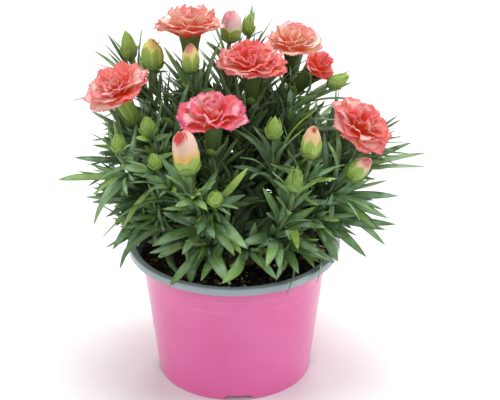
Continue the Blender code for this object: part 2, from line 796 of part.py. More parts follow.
def plan_leaves(shoot, lines, thicket):
    """A leaf on each free face of each node, where it has a way."""
    count = 0
    for line in lines:
        for node in line.nodes:
            for k in node.faces:
                count += 1
                if k in node.grown:
                    continue
                for leaf in leaf_at(line, node, k, shoot, count).ways():
                    probe = probe_of_leaf(leaf)
                    if thicket.free(probe, line.probe):
                        thicket.add(probe)
                        node.grown[k] = leaf
                        break


def turned_head(name, profile, place, facing, size, sides, look, ruffle=0.0):
    """A turned piece of a flower or bud, standing on its place and facing that way."""
    radius, length = size
    scaled = [(0, 0)] + [(r * radius, z * length) for r, z in profile] + [(0, length)]
    made = new_object(name, turned_mesh(scaled, sides, ruffle), look)
    turn = facing.to_track_quat("Z", "Y").to_matrix().to_4x4()
    made.matrix_world = Matrix.Translation(place) @ turn
    return made


def make_calyx(name, head, sides, look):
    size = (head.calyx_radius, head.calyx_length)
    return turned_head(name, CALYX, head.seat(), head.facing, size, sides, look)


def make_petals(name, head, profile, sides, look, ruffle=0.0):
    """The petals stand just off their calyx, from where the head's own length starts."""
    place = head.seat() + head.facing * (head.calyx_length + (GAP if head.calyx_length else 0))
    size = (head.radius, head.length - GAP)
    return turned_head(name, profile, place, head.facing, size, sides, look, ruffle)


def make_heads(thicket):
    made = []
    for name, head in FLOWERS.items():
        made.append(make_calyx(f"calyx_{name}", head, CALYX_SIDES, CALYX_LOOK))
        petals = (f"petals_{name}", head, COROLLA, COROLLA_SIDES, PETAL_LOOK, RUFFLE_DEPTH)
        made.append(make_petals(*petals))
    for name, head in OPENING_BUDS.items():
        made.append(make_calyx(f"bud_calyx_{name}", head, BUD_SIDES, BUD_LOOK))
        made.append(make_petals(f"bud_petals_{name}", head, OPENING_PETALS, BUD_SIDES, OPENING_LOOK))
    for name, head in CLOSED_BUDS.items():
        made.append(make_petals(f"bud_{name}", head, BUD, BUD_SIDES, BUD_LOOK))
    bpy.context.view_layer.update()
    for piece in made:
        thicket.add_object(piece)


def make_shoots(thicket):
    """Plans every stem before the first leaf, so that no leaf stands in a stem's way."""
    shoots = FLOWERING_SHOOTS + LEAFY_SHOOTS
    planned = [(shoot, plan_lines(shoot, thicket)) for shoot in shoots]
    for shoot, lines in planned:
        plan_leaves(shoot, lines, thicket)
        growth = Growth()
        foot = growth.ring(*lines[0].section(0))
        growth.faces.append(tuple(reversed(foot)))
        growth.stem(lines[0], foot)
        mesh = bpy.data.meshes.new(shoot.name)
        mesh.from_pydata(growth.points, [], growth.faces)
        new_object(shoot.name, mesh, LEAF_LOOK)


def clear_scene():
    for thing in list(bpy.data.objects):
        bpy.data.objects.remove(thing)


clear_scene()
thicket = Thicket()
thicket.add_box(*WATERING_SPACE)
for piece in (make_pot(), make_soil(), make_crown()):
    thicket.add_object(piece)
make_heads(thicket)
make_shoots(thicket)
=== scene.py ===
"""A carnation (dianthus) in flower in its nursery pot. Metres, +Z up, -Y the front."""

import math
import random

import bmesh
import bpy
import numpy as np
from mathutils import Matrix, Vector, noise
from mathutils.bvhtree import BVHTree


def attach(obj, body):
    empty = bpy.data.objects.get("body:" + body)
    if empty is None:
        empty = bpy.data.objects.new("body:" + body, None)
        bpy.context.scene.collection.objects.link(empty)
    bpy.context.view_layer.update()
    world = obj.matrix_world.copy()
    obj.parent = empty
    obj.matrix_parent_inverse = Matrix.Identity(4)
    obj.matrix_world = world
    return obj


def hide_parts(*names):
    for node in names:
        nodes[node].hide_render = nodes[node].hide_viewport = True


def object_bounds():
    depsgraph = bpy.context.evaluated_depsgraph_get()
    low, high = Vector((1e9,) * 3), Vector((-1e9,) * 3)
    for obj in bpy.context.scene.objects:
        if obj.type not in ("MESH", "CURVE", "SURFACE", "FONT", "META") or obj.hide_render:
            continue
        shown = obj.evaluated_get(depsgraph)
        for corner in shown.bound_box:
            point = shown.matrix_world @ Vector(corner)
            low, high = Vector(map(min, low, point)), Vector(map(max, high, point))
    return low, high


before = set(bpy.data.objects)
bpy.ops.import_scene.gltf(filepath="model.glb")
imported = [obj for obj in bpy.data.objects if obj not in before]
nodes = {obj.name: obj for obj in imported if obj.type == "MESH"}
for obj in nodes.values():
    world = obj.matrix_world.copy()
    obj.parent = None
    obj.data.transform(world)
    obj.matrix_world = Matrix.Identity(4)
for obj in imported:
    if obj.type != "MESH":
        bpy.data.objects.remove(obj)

cad_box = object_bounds()
MM = 0.001

# The studio: a plain white table that runs on behind the plant, a pale room, and five large
# soft lamps. The camera is a long lens that looks down on the plant from the front.
CAMERA_TILT = math.radians(26.9)
CAMERA_AWAY = 1.3
CAMERA_AIM = Vector((9.0, 0, 105)) * MM
LENS = 166.8
ROOM_LIGHT = 0.42
# Each lamp: where it hangs, what it is turned to, its width in metres and its power in watts
LAMPS = {
    "lamp_front": ((-0.25, -1.3, 0.95), (0, 0, 0.12), 0.5, 4.5),
    "lamp_left": ((-1.2, -0.2, 0.8), (0, 0, 0.1), 0.7, 4.2),
    "lamp_right": ((1.2, -0.1, 0.7), (0, 0, 0.1), 0.7, 6.3),
    "lamp_above": ((0.05, 0.1, 1.3), (0, 0, 0.1), 0.6, 10),
    "lamp_back": ((0.2, 1.5, 1.0), (0, 0.55, 0), 0.8, 9),
}


def placed(name, data):
    """An object that holds this data, put in the scene."""
    made = bpy.data.objects.new(name, data)
    bpy.context.collection.objects.link(made)
    return made


lens = bpy.data.cameras.new("camera")
lens.lens = LENS
lens.sensor_width = 36
lens.clip_end = 20
camera = placed("camera", lens)
back = Vector((0, -math.cos(CAMERA_TILT), math.sin(CAMERA_TILT)))
camera.location = CAMERA_AIM + back * CAMERA_AWAY
camera.rotation_euler = (-back).to_track_quat("-Z", "Y").to_euler()
bpy.context.scene.camera = camera
bpy.context.scene.view_settings.view_transform = "Standard"

room = bpy.data.worlds.new("pale_room")
bpy.context.scene.world = room
room.use_nodes = True
room_light = room.node_tree.nodes["Background"].inputs
room_light["Color"].default_value = (1, 1, 1, 1)
room_light["Strength"].default_value = ROOM_LIGHT

for name, (place, aim, width, power) in LAMPS.items():
    light = bpy.data.lights.new(name, "AREA")
    light.shape = "SQUARE"
    light.size = width
    light.energy = power
    lamp = placed(name, light)
    lamp.location = place
    lamp.rotation_euler = (Vector(aim) - Vector(place)).to_track_quat("-Z", "Y").to_euler()

# The pot: moulded from a thin sheet of plastic that is pink on one side and grey on the other,
# so the grey inside shows again on the ledge and on the outer face of the rim's short skirt.
# Four notches through the foot ring and eight holes in the channel's roof let water out.
POT_HEIGHT, RIM_RADIUS, LEDGE_WIDTH, SKIRT = 80.7, 60.0, 4.1, 4.1
FOOT_RADIUS, FOOT_RING, PAD_RADIUS, CHANNEL, SLOPE = 43.2, 1.9, 30.0, 3.4, 1.3
COLLAR_RADIUS, COLLAR_FOOT, COLLAR_HEAD_RADIUS, COLLAR_HEAD = 51.4, 66.0, 55.3, 75.9
WALL, ROUNDING_STEPS, POT_SIDES = 0.9, 4, 192
STACK_RING, STACK_RING_STEP = 61.5, 0.22
NOTCHES, NOTCH_BEARING = 4, math.radians(-86.4)
NOTCH_HEIGHT, NOTCH_WIDTH, NOTCH_CORNER, NOTCH_REACH = 3.0, 12.6, 0.6, 3
HOLES, HOLE_RADIUS = 8, 2.5
# Heights between which the pink is painted darker towards the collar, as painted shade under the rim's
# skirt, and painted brighter towards the foot, as painted light bounced up from the table; and the
# heights of the faint lines that other pots have scuffed into it
PAINTED_RIM_SHADE, PAINTED_FOOT_LIGHT, SCUFFS = (60 * MM, 76 * MM), (0, 40 * MM), (60.5 * MM, 67.5 * MM)


class Field:
    """A value or colour that changes over a surface. Sums and products of fields add nodes."""

    def __init__(self, finish, socket):
        self.finish, self.socket = finish, socket

    def math(self, operation, *values):
        return self.finish.node("ShaderNodeMath", {"operation": operation}, dict(enumerate(values)))

    def __add__(self, other):
        return self.math("ADD", self, other)

    def __sub__(self, other):
        return self.math("SUBTRACT", self, other)

    def __rsub__(self, other):
        return self.math("SUBTRACT", other, self)

    def __mul__(self, other):
        return self.math("MULTIPLY", self, other)

    def __abs__(self):
        return self.math("ABSOLUTE", self)

    __radd__ = __add__
    __rmul__ = __mul__

    def ease(self, low, high):
        """0 below low and 1 above high, smooth between them."""
        settings = {"interpolation_type": "SMOOTHSTEP"}
        return self.finish.node("ShaderNodeMapRange", settings, {0: self, 1: low, 2: high})


class Finish:
    """A material with one Principled shader, whose nodes are added as they are called for."""

    def __init__(self, name, **constants):
        self.material = bpy.data.materials.new(name)
        self.material.use_nodes = True
        self.nodes = self.material.node_tree.nodes
        self.shader = self.nodes["Principled BSDF"]
        for socket, value in constants.items():
            self.shader.inputs[socket.replace("_", " ")].default_value = value

    def node(self, kind, settings, values, output=0):
        made = self.nodes.new(kind)
        for setting, value in settings.items():
            setattr(made, setting, value)
        for socket, value in values.items():
            self.feed(made.inputs[socket], value)
        return Field(self, made.outputs[output])

    def feed(self, socket, value):
        if isinstance(value, Field):
            self.material.node_tree.links.new(value.socket, socket)
        elif socket.type == "RGBA":
            socket.default_value = (*value, 1)
        else:
            socket.default_value = value

    def mark(self, name):
        """A value that the mesh holds at each point."""
        return self.node("ShaderNodeAttribute", {"attribute_name": name}, {}, "Fac")

    def place(self):
        return self.node("ShaderNodeTexCoord", {}, {}, "Object")

    def noise(self, where, scale, detail=3, rough=0.5):
        values = {"Vector": where, "Scale": scale, "Detail": detail, "Roughness": rough}
        return self.node("ShaderNodeTexNoise", {}, values)

    def vector(self, x, y, z):
        return self.node("ShaderNodeCombineXYZ", {}, {0: x, 1: y, 2: z})

    def stretched(self, where, scale):
        return self.node("ShaderNodeMapping", {}, {"Vector": where, "Scale": scale})

    def mix(self, share, one, other):
        values = {0: share, 6: one, 7: other}
        return self.node("ShaderNodeMix", {"data_type": "RGBA"}, values, 2)

    def over(self, colour, *coats):
        """This colour under coats of others, each given as its share and its colour."""
        for share, coat in coats:
            colour = self.mix(share, colour, coat)
        return colour

    def show(self, colour, roughness, height, depth):
        """The colour, the roughness, and a bump of this height field, depth metres deep."""
        self.feed(self.shader.inputs["Base Color"], colour)
        self.feed(self.shader.inputs["Roughness"], roughness)
        bump = self.node("ShaderNodeBump", {}, {"Height": height, "Distance": depth})
        self.feed(self.shader.inputs["Normal"], bump)


MARKS = ("along", "across", "under", "tone", "ring")


class Piece:
    """The mesh of one piece, gathered part by part, with the marks that its finishes read."""

    def __init__(self):
        self.points, self.faces, self.looks, self.marks = [], [], [], []

    def add(self, points, faces, look=0, along=0.0, across=0.0, under=0.0, tone=0.0, ring=0.0):
        first = len(self.points)
        count = len(points)
        self.points.extend(map(tuple, np.asarray(points, float).reshape(-1, 3)))
        self.faces.extend([first + i for i in face] for face in faces)
        self.looks.extend([look] * len(faces))
        columns = [np.broadcast_to(mark, count) for mark in (along, across, under, tone, ring)]
        self.marks.extend(np.column_stack(columns))

    def fit(self, name, finishes, slot, node):
        """The piece in its place: what it is made of, and the node that it stands for."""
        mesh = bpy.data.meshes.new(name)
        mesh.from_pydata(self.points, [], self.faces)
        for finish in finishes:
            mesh.materials.append(finish.material)
        mesh.polygons.foreach_set("material_index", self.looks)
        columns = np.array(self.marks, np.float32)
        for k, mark in enumerate(MARKS):
            layer = mesh.attributes.new(mark, "FLOAT", "POINT")
            layer.data.foreach_set("value", np.ascontiguousarray(columns[:, k]))
        mesh.shade_smooth()
        made = placed(name, mesh)
        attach(made, "root")
        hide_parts(node)
        return made


def rings_joined(rings, sides):
    """The faces of rings of the same number of points, closed by a face at each end."""
    faces = []
    for row in range(rings - 1):
        for k in range(sides):
            low, after = row * sides, (k + 1) % sides
            faces.append((low + k, low + after, low + sides + after, low + sides + k))
    faces.append(tuple(range(sides))[::-1])
    faces.append(tuple(range((rings - 1) * sides, rings * sides)))
    return faces


def softened(corners):
    """A profile of (radius, height, rounding, side) with each corner rounded as it says."""
    profile = []
    for k, (radius, height, rounding, side) in enumerate(corners):
        corner = Vector((radius, height))
        if not rounding or k in (0, len(corners) - 1):
            profile.append((radius, height, side))
            continue
        before, after = Vector(corners[k - 1][:2]), Vector(corners[k + 1][:2])
        start = corner + (before - corner).normalized() * rounding
        end = corner + (after - corner).normalized() * rounding
        for step in range(ROUNDING_STEPS + 1):
            share = step / ROUNDING_STEPS
            point = start.lerp(corner, share).lerp(corner.lerp(end, share), share)
            profile.append((point.x, point.y, side))
    return profile


def turned(profile, sides):
    """The rings and faces of a profile of (radius, height, side) turned about Z."""
    turns = np.arange(sides) * math.tau / sides
    circle = np.column_stack([np.cos(turns), np.sin(turns), np.zeros(sides)])
    points = np.concatenate([circle * r + (0, 0, h) for r, h, _ in profile]) * MM
    marks = np.repeat([side for _, _, side in profile], sides)
    return points, rings_joined(len(profile), sides), marks


def prism(shape, near, far):
    """A closed block between two like outlines."""
    inner = [shape.verts.new(corner) for corner in near]
    outer = [shape.verts.new(corner) for corner in far]
    shape.faces.new(inner[::-1])
    shape.faces.new(outer)
    for k in range(len(near)):
        after = (k + 1) % len(near)
        shape.faces.new((inner[k], inner[after], outer[after], outer[k]))


def drains():
    """The notches and holes, as one cutter."""
    shape = bmesh.new()
    half, flare, shoulder = NOTCH_WIDTH / 2, NOTCH_HEIGHT + 1, NOTCH_HEIGHT - NOTCH_CORNER
    outline = [(-half - flare, -1), (half + flare, -1), (half + NOTCH_CORNER, shoulder)]
    outline += [(half - NOTCH_CORNER, NOTCH_HEIGHT), (-half + NOTCH_CORNER, NOTCH_HEIGHT)]
    outline += [(-half - NOTCH_CORNER, shoulder)]
    middle = FOOT_RADIUS - FOOT_RING / 2
    for k in range(NOTCHES):
        spin = Matrix.Rotation(NOTCH_BEARING + math.tau * k / NOTCHES, 3, "Z")
        near = [spin @ Vector((middle - NOTCH_REACH, y, z)) * MM for y, z in outline]
        far = [spin @ Vector((middle + NOTCH_REACH, y, z)) * MM for y, z in outline]
        prism(shape, near, far)
    channel = (PAD_RADIUS + FOOT_RADIUS - FOOT_RING) / 2
    for k in range(HOLES):
        bearing = NOTCH_BEARING + math.tau * (k + 0.5) / HOLES
        place = Vector((channel * math.cos(bearing), channel * math.sin(bearing), CHANNEL))
        bmesh.ops.create_cone(
            shape, cap_ends=True, segments=32, radius1=HOLE_RADIUS * MM, radius2=HOLE_RADIUS * MM,
            depth=4 * WALL * MM, matrix=Matrix.Translation(place * MM),
        )
    bmesh.ops.recalc_face_normals(shape, faces=shape.faces)
    mesh = bpy.data.meshes.new("drains")
    shape.to_mesh(mesh)
    shape.free()
    return placed("drains", mesh)


def sheet_plastic():
    """Satin polypropylene: pink where the mark is 0 and grey where it is 1."""
    finish = Finish("pink_grey_plastic", Specular_IOR_Level=0.5, Coat_Weight=0.6, Coat_Roughness=0.2)
    where = finish.place()
    height = finish.node("ShaderNodeSeparateXYZ", {}, {0: where}, "Z")
    cloud = finish.noise(where, 28, 2)
    grain = finish.noise(where, 900, 2)
    flow = finish.noise(finish.stretched(where, (60, 60, 700)), 1, 2)
    pink = finish.over(
        finish.mix(cloud.ease(0.35, 0.7), (0.69, 0.1, 0.32), (0.72, 0.125, 0.36)),
        # painted shade: the pink darker under the rim's skirt; then painted light: the pink brighter near the
        # foot
        (height.ease(*PAINTED_RIM_SHADE) * 0.45, (0.52, 0.08, 0.25)),
        ((1 - height.ease(*PAINTED_FOOT_LIGHT)) * 0.5, (0.86, 0.14, 0.42)),
    )
    for scuff in SCUFFS:
        worn = (1 - abs(height - scuff).ease(0.1 * MM, 0.8 * MM)) * flow.ease(0.42, 0.62)
        pink = finish.mix(worn * 0.25, pink, (0.8, 0.33, 0.52))
    grey = finish.mix(cloud.ease(0.3, 0.75), (0.27, 0.33, 0.36), (0.34, 0.4, 0.43))
    inside = finish.mark("along").ease(0.4, 0.6)
    finish.show(
        finish.mix(inside, pink, grey), 0.36 + 0.1 * cloud + 0.05 * inside, grain * 0.4 + flow, 0.12 * MM,
    )
    return finish


def make_pot():
    taper = (COLLAR_RADIUS - FOOT_RADIUS) / COLLAR_FOOT
    ledge, channel, floor = RIM_RADIUS - LEDGE_WIDTH, FOOT_RADIUS - FOOT_RING, CHANNEL + WALL
    ring = FOOT_RADIUS + taper * STACK_RING
    # Each corner: its radius, its height, how far it is rounded, and 1 on the grey side
    corners = [
        (0.01, 0, 0, 0),
        (PAD_RADIUS - SLOPE, 0, 0.8, 0),
        (PAD_RADIUS, CHANNEL, 0.8, 0),
        (channel - SLOPE, CHANNEL, 0.7, 0),
        (channel, 0, 0.35, 0),
        (FOOT_RADIUS, 0, 0.6, 0),
        (ring, STACK_RING, 0.3, 0),
        (ring + STACK_RING_STEP, STACK_RING + 0.5, 0.3, 0),
        (COLLAR_RADIUS + STACK_RING_STEP, COLLAR_FOOT, 2.2, 0),
        (COLLAR_HEAD_RADIUS, COLLAR_HEAD, 1.2, 0),
        (ledge + WALL, POT_HEIGHT - WALL, 0.6, 0),
        (RIM_RADIUS - WALL, POT_HEIGHT - WALL, 0.5, 0),
        (RIM_RADIUS - WALL, POT_HEIGHT - SKIRT, 0, 0),
        (RIM_RADIUS - 0.1, POT_HEIGHT - SKIRT, 0.2, 1),
        (RIM_RADIUS, POT_HEIGHT - SKIRT + 0.6, 0.4, 1),
        (RIM_RADIUS - 0.15, POT_HEIGHT - 0.1, 0.9, 1),
        (ledge, POT_HEIGHT - 0.1, 1.0, 1),
        (COLLAR_HEAD_RADIUS - WALL, COLLAR_HEAD, 1.2, 1),
        (COLLAR_RADIUS - WALL, COLLAR_FOOT, 2.2, 1),
        (FOOT_RADIUS + taper * floor - WALL, floor, 0.8, 1),
        (PAD_RADIUS, floor, 0.8, 1),
        (PAD_RADIUS - SLOPE - WALL, WALL, 0.8, 1),
        (0.01, WALL, 0, 1),
    ]
    points, faces, side = turned(softened(corners), POT_SIDES)
    piece = Piece()
    piece.add(points, faces, along=side)
    pot = piece.fit("pot_shell", [sheet_plastic()], "pot_plastic", "pot")
    cutter = drains()
    cut = pot.modifiers.new("drains", "BOOLEAN")
    cut.operation = "DIFFERENCE"
    cut.solver = "EXACT"
    cut.object = cutter
    seen = pot.evaluated_get(bpy.context.evaluated_depsgraph_get())
    finished = bpy.data.meshes.new_from_object(seen)
    pot.modifiers.clear()
    pot.data = finished
    pot.data.set_sharp_from_angle(angle=math.radians(50))
    bpy.data.objects.remove(cutter)


make_pot()

# The growing medium: black peat with crumbs, scraps of bark and a little white perlite. It
# fills the pot to under the ledge, and lies lower at the wall than at the crown.
SOIL_RADIUS, SOIL_EDGE, SOIL_TOP, SOIL_SHOULDER = 52.2, 72.0, 74.6, 7.0
SOIL_SIDES, SOIL_RINGS = 120, 44
# The peat's underside in the pot: radius, height and mark
SOIL_BELOW = ((0.01, 1.3, 0), (28, 1.4, 0), (29.6, 4.7, 0), (42, 4.7, 0), (49.6, 66, 0))
# Crumbs, perlite and bark: how many, least and greatest size, flatness, tones and roundness
LUMPS = (
    (1500, 0.4, 1.5, 0.25, (0, 0, 0, 0.3, 0.42), 1),
    (60, 0.35, 0.95, 0.2, (1.0,), 2),
    (150, 0.8, 2.8, 0.75, (0.5,), 2),
)
LUMP_ROUGHNESS, OFF_THE_WALL = 0.5, 1.5


def soil_height(x, y):
    """The height of the peat's surface, in millimetres."""
    out = math.hypot(x, y)
    fall = max(0, (out - SOIL_RADIUS + SOIL_SHOULDER) / SOIL_SHOULDER)
    rough = noise.fractal((x / 9, y / 9, 0.5), 0.8, 2.1, 4)
    return SOIL_TOP - (SOIL_TOP - SOIL_EDGE) * fall**2 + 0.75 * rough - 0.6


def lump(points, seed, flatness):
    """A ball's points pushed in and out at random, flattened and turned."""
    rng = random.Random(seed)
    points = [p * (1 + LUMP_ROUGHNESS * (rng.random() - 0.5)) for p in points]
    turn = Matrix.Rotation(rng.random() * math.tau, 3, "Z") @ Matrix.Rotation(rng.random() * 0.9, 3, "X")
    return [turn @ Vector((p.x, p.y * (1 - 0.45 * flatness), p.z * (1 - flatness))) for p in points]


def ball(subdivisions):
    shape = bmesh.new()
    bmesh.ops.create_icosphere(shape, subdivisions=subdivisions, radius=1)
    points = [v.co.copy() for v in shape.verts]
    faces = [tuple(v.index for v in f.verts) for f in shape.faces]
    shape.free()
    return points, faces


def peat():
    """Peat is near black where the mark tone is 0, bark brown at 0.5 and perlite white at 1."""
    finish = Finish("peat", Specular_IOR_Level=0.15)
    where, tone = finish.place(), finish.mark("tone")
    fine, coarse = finish.noise(where, 1500, 4, 0.7), finish.noise(where, 260, 4)
    colour = finish.over(
        finish.mix(coarse.ease(0.4, 0.65), (0.006, 0.005, 0.004), (0.028, 0.019, 0.012)),
        (tone.ease(0.2, 0.5), finish.mix(fine.ease(0.35, 0.65), (0.06, 0.032, 0.014), (0.2, 0.12, 0.055))),
        (tone.ease(0.7, 0.9), finish.mix(fine.ease(0.3, 0.6), (0.36, 0.35, 0.3), (0.72, 0.71, 0.66))),
    )
    finish.show(colour, 0.8 + 0.2 * fine, fine + coarse, 0.6 * MM)
    return finish


def make_soil():
    surface = [(SOIL_RADIUS * k / SOIL_RINGS, 0, 0) for k in range(SOIL_RINGS, 0, -1)]
    points, faces, _ = turned([*SOIL_BELOW, *surface], SOIL_SIDES)
    for point in points[len(SOIL_BELOW) * SOIL_SIDES:]:
        x, y = point[:2] / MM
        point[2] = soil_height(x, y) * MM
    piece = Piece()
    piece.add(points, faces)
    rng, seed = random.Random(11), 100
    for count, least, greatest, flatness, tones, roundness in LUMPS:
        points, faces = ball(roundness)
        for _ in range(count):
            out, turn = (SOIL_RADIUS - OFF_THE_WALL) * math.sqrt(rng.random()), rng.random() * math.tau
            x, y = out * math.cos(turn), out * math.sin(turn)
            size = rng.uniform(least, greatest)
            tone = rng.choice(tones) if len(tones) > 1 else tones[0]
            middle = Vector((x, y, soil_height(x, y) + 0.35 * size * (1 - flatness)))
            shape = [(middle + p * size) * MM for p in lump(points, seed, flatness)]
            piece.add(shape, faces, tone=tone)
            seed += 1
    piece.fit("peat_and_perlite", [peat()], "soil", "potting_soil")


make_soil()

# The crown: the woody base that every shoot springs from, a low knuckled cushion of old wood
# on the peat, held by the taproot below it.
CROWN_RADIUS, CROWN_HEIGHT, CROWN_REST = 23.0, 9.0, 75.3
ROOT_RADIUS, ROOT_END = 7.5, 39.4
CROWN_SIDES, CROWN_ROWS, KNUCKLES = 72, 18, 160


def old_wood():
    finish = Finish("old_wood", Specular_IOR_Level=0.2)
    where = finish.place()
    grain = finish.noise(finish.stretched(where, (1, 1, 0.25)), 420, 5, 0.65)
    colour = finish.mix(grain.ease(0.35, 0.7), (0.055, 0.035, 0.018), (0.24, 0.18, 0.1))
    colour = finish.mix(finish.noise(where, 90).ease(0.5, 0.7), colour, (0.1, 0.13, 0.05))
    finish.show(colour, 0.7 + 0.25 * grain, grain, 0.9 * MM)
    return finish


def make_crown():
    piece = Piece()
    dome = (CROWN_RADIUS**2 + CROWN_HEIGHT**2) / (2 * CROWN_HEIGHT)
    middle = CROWN_REST + CROWN_HEIGHT - dome
    profile = [(0.01, ROOT_END, 0), (3.3, ROOT_END + 0.2, 0), (5.6, 58, 0), (ROOT_RADIUS, CROWN_REST, 0)]
    for step in range(CROWN_ROWS):
        out = CROWN_RADIUS * (1 - step / CROWN_ROWS)
        profile.append((out, middle + math.sqrt(dome**2 - out**2) - 0.2, 0))
    points, faces, _ = turned(profile, CROWN_SIDES)
    for point in points:
        if point[2] > CROWN_REST * MM:
            knuckle = noise.fractal((point[0] * KNUCKLES, point[1] * KNUCKLES, 3.1), 0.9, 2.0, 4)
            point[2] += (1.1 * knuckle - 0.5) * MM
    piece.add(points, faces)
    piece.fit("woody_crown", [old_wood()], "woody_crown", "root_crown")


make_crown()

# Stems and leaves: each stem is round, with a swollen joint wherever a pair of leaves grows
# out. A leaf is a narrow, pointed, channelled blade, green with a grey waxy bloom whose pale
# patches are partly a painted highlight. Small young leaves stand in the joints and in a tuft at
# each shoot's end, and a few old ones have withered.
STEMS = sorted(name for name in nodes if name.startswith(("flower_stem_", "bud_stem_", "leaf_shoot_")))
HEADS = sorted(name for name in nodes if name.startswith(("petals_", "calyx_", "bud_")) and name not in STEMS)
BLADE_THICKNESS, EDGE_THICKNESS = 0.5 * MM, 0.12 * MM
SECTION = ((-1, 0), (-0.5, 0), (0, 0), (0.5, 0), (1, 0), (0.5, 1), (0, 1), (-0.5, 1))
LEAF_ROOT_ANGLE = math.radians(22)
# Millimetres between a blade's cross-sections, its channel's depth as a share of its half
# width, its greatest twist in radians, and the stretches that an arching blade is bent from
STATION, FOLD, TWIST, ARCH_STEPS = 3.6, 0.34, 0.3, 4


def pulled_apart(name):
    """A grown node's stem without its leaves, each leaf's stations from root to tip, and the
    stem's bare ends with the way that each looks."""
    cage = bmesh.new()
    cage.from_mesh(nodes[name].data)
    bmesh.ops.remove_doubles(cage, verts=cage.verts, dist=1e-5)
    leaves, gone = [], []
    for tip in cage.verts:
        ring = [edge.other_vert(tip) for edge in tip.link_edges]
        centre = sum((v.co for v in ring), Vector()) / len(ring)
        spread = max((v.co - centre).length for v in ring)
        if len(ring) != 4 or (tip.co - centre).length < 2 * spread:
            continue
        layers, seen = [[tip]], {tip}
        while len(ring) == 4:
            layers.append(ring)
            seen.update(ring)
            ring = list({e.other_vert(v) for v in ring for e in v.link_edges} - seen)
            ring.sort(key=lambda v: v.index)
        stem = sum((v.co for v in ring), Vector()) / len(ring)
        leaves.append((stem, [[v.co.copy() for v in layer] for layer in layers[::-1]]))
        gone.extend(v for layer in layers[:-1] for v in layer)
    bmesh.ops.delete(cage, geom=list(set(gone)), context="VERTS")
    bmesh.ops.holes_fill(cage, edges=cage.edges, sides=4)
    bmesh.ops.join_triangles(
        cage, faces=cage.faces, angle_face_threshold=1.2, angle_shape_threshold=1.2,
    )
    bmesh.ops.recalc_face_normals(cage, faces=cage.faces)
    ends = []
    for face in cage.faces:
        if all(len(v.link_edges) == 3 for v in face.verts):
            ends.append((face.calc_center_median(), face.normal.copy()))
    mesh = bpy.data.meshes.new("stem")
    cage.to_mesh(mesh)
    cage.free()
    return mesh, leaves, ends


def rounded_stem(mesh):
    """The stem's points and faces, subdivided until it is round."""
    made = placed("stem", mesh)
    smooth = made.modifiers.new("round", "SUBSURF")
    smooth.levels = smooth.render_levels = 2
    seen = made.evaluated_get(bpy.context.evaluated_depsgraph_get()).to_mesh()
    points = [v.co.copy() for v in seen.vertices]
    faces = [tuple(p.vertices) for p in seen.polygons]
    bpy.data.objects.remove(made)
    return points, faces


class Blade:
    """A leaf: the points it passes through, which way it is wide there, and its greatest width."""

    def __init__(self, places, across, up, width):
        self.places, self.across, self.up, self.width = places, across, up, width
        spans = [(b - a).length for a, b in zip(places, places[1:])]
        self.length = sum(spans)
        self.marks = [sum(spans[:k]) / self.length for k in range(len(places))]
        way = (places[1] - places[0]).normalized()
        self.axis = (way * math.cos(LEAF_ROOT_ANGLE) + up * math.sin(LEAF_ROOT_ANGLE)).normalized()

    def at(self, share):
        """A smooth curve through the places."""
        last = len(self.places) - 2
        k = min(last, max(0, sum(mark <= share for mark in self.marks) - 1))
        span = self.marks[k + 1] - self.marks[k]
        t = (share - self.marks[k]) / span
        b, c = self.places[k], self.places[k + 1]
        slope_b = slope_c = c - b
        if k:
            slope_b = (c - b + (b - self.places[k - 1]) * span / (self.marks[k] - self.marks[k - 1])) / 2
        if k < last:
            slope_c = (c - b + (self.places[k + 2] - c) * span / (self.marks[k + 2] - self.marks[k + 1])) / 2
        t2, t3 = t * t, t * t * t
        return (
            b * (2 * t3 - 3 * t2 + 1) + slope_b * (t3 - 2 * t2 + t)
            + c * (3 * t2 - 2 * t3) + slope_c * (t3 - t2)
        )

    def sister(self, angle, scale, lift):
        """Another leaf from the same joint: turned about the stem, scaled, and more upright."""
        turn = Matrix.Rotation(angle, 3, self.axis) @ Matrix.Rotation(lift, 3, self.across)
        root = self.places[0]
        places = [root + turn @ (p - root) * scale for p in self.places]
        return Blade(places, turn @ self.across, turn @ self.up, self.width * (0.55 + 0.45 * scale))


def blade_of(stem, layers):
    """Reads a leaf from the corners of its stations."""
    places = [sum(corners, Vector()) / len(corners) for corners in layers]
    ring = layers[1]
    across = max((a - b for a in ring for b in ring), key=lambda gap: gap.length)
    width = max((a - b).length for a in ring for b in ring)
    way = (places[1] - places[0]).normalized()
    across = (across - across.project(way)).normalized()
    up = way.cross(across)
    if up.dot(places[0] - stem) > 0:
        up, across = -up, -across
    return Blade(places, across, up, width)


def arching_blade(root, axis, side, length, width, lean, tip):
    """A leaf that leaves its stem at an angle of lean and ends at an angle of tip."""
    places = [root]
    for step in range(ARCH_STEPS):
        angle = lean + (tip - lean) * (step + 0.5) / ARCH_STEPS
        places.append(places[-1] + (axis * math.cos(angle) + side * math.sin(angle)) * length / ARCH_STEPS)
    return Blade(places, axis.cross(side), axis * math.sin(lean) - side * math.cos(lean), width)


def young_leaves(place, way, size, pairs, rng):
    """Small leaves in crossed pairs, the inner ones shorter and more upright."""
    start, first = way.orthogonal().normalized(), rng.random() * math.tau
    for pair in range(pairs):
        for half in (0, math.pi):
            side = Matrix.Rotation(first + pair * math.pi / 2 + half, 3, way) @ start
            length = size * (1 - 0.2 * pair) * rng.uniform(0.8, 1.2)
            lean = math.radians(40 - 12 * pair) * rng.uniform(0.6, 1.2)
            tip = lean + math.radians(rng.uniform(0, 50))
            width = length * rng.uniform(0.17, 0.26)
            yield arching_blade(place + way * (pair * MM), way, side, length, width, lean, tip)


def width_at(share):
    """A leaf's width along it: narrow at its root, widest in the middle, then a blunt point."""
    root = 0.6 + 0.4 * math.sin(min(1, share / 0.4) * math.pi / 2)
    return root * (1 - max(0, (share - 0.5) / 0.5) ** 2.8)


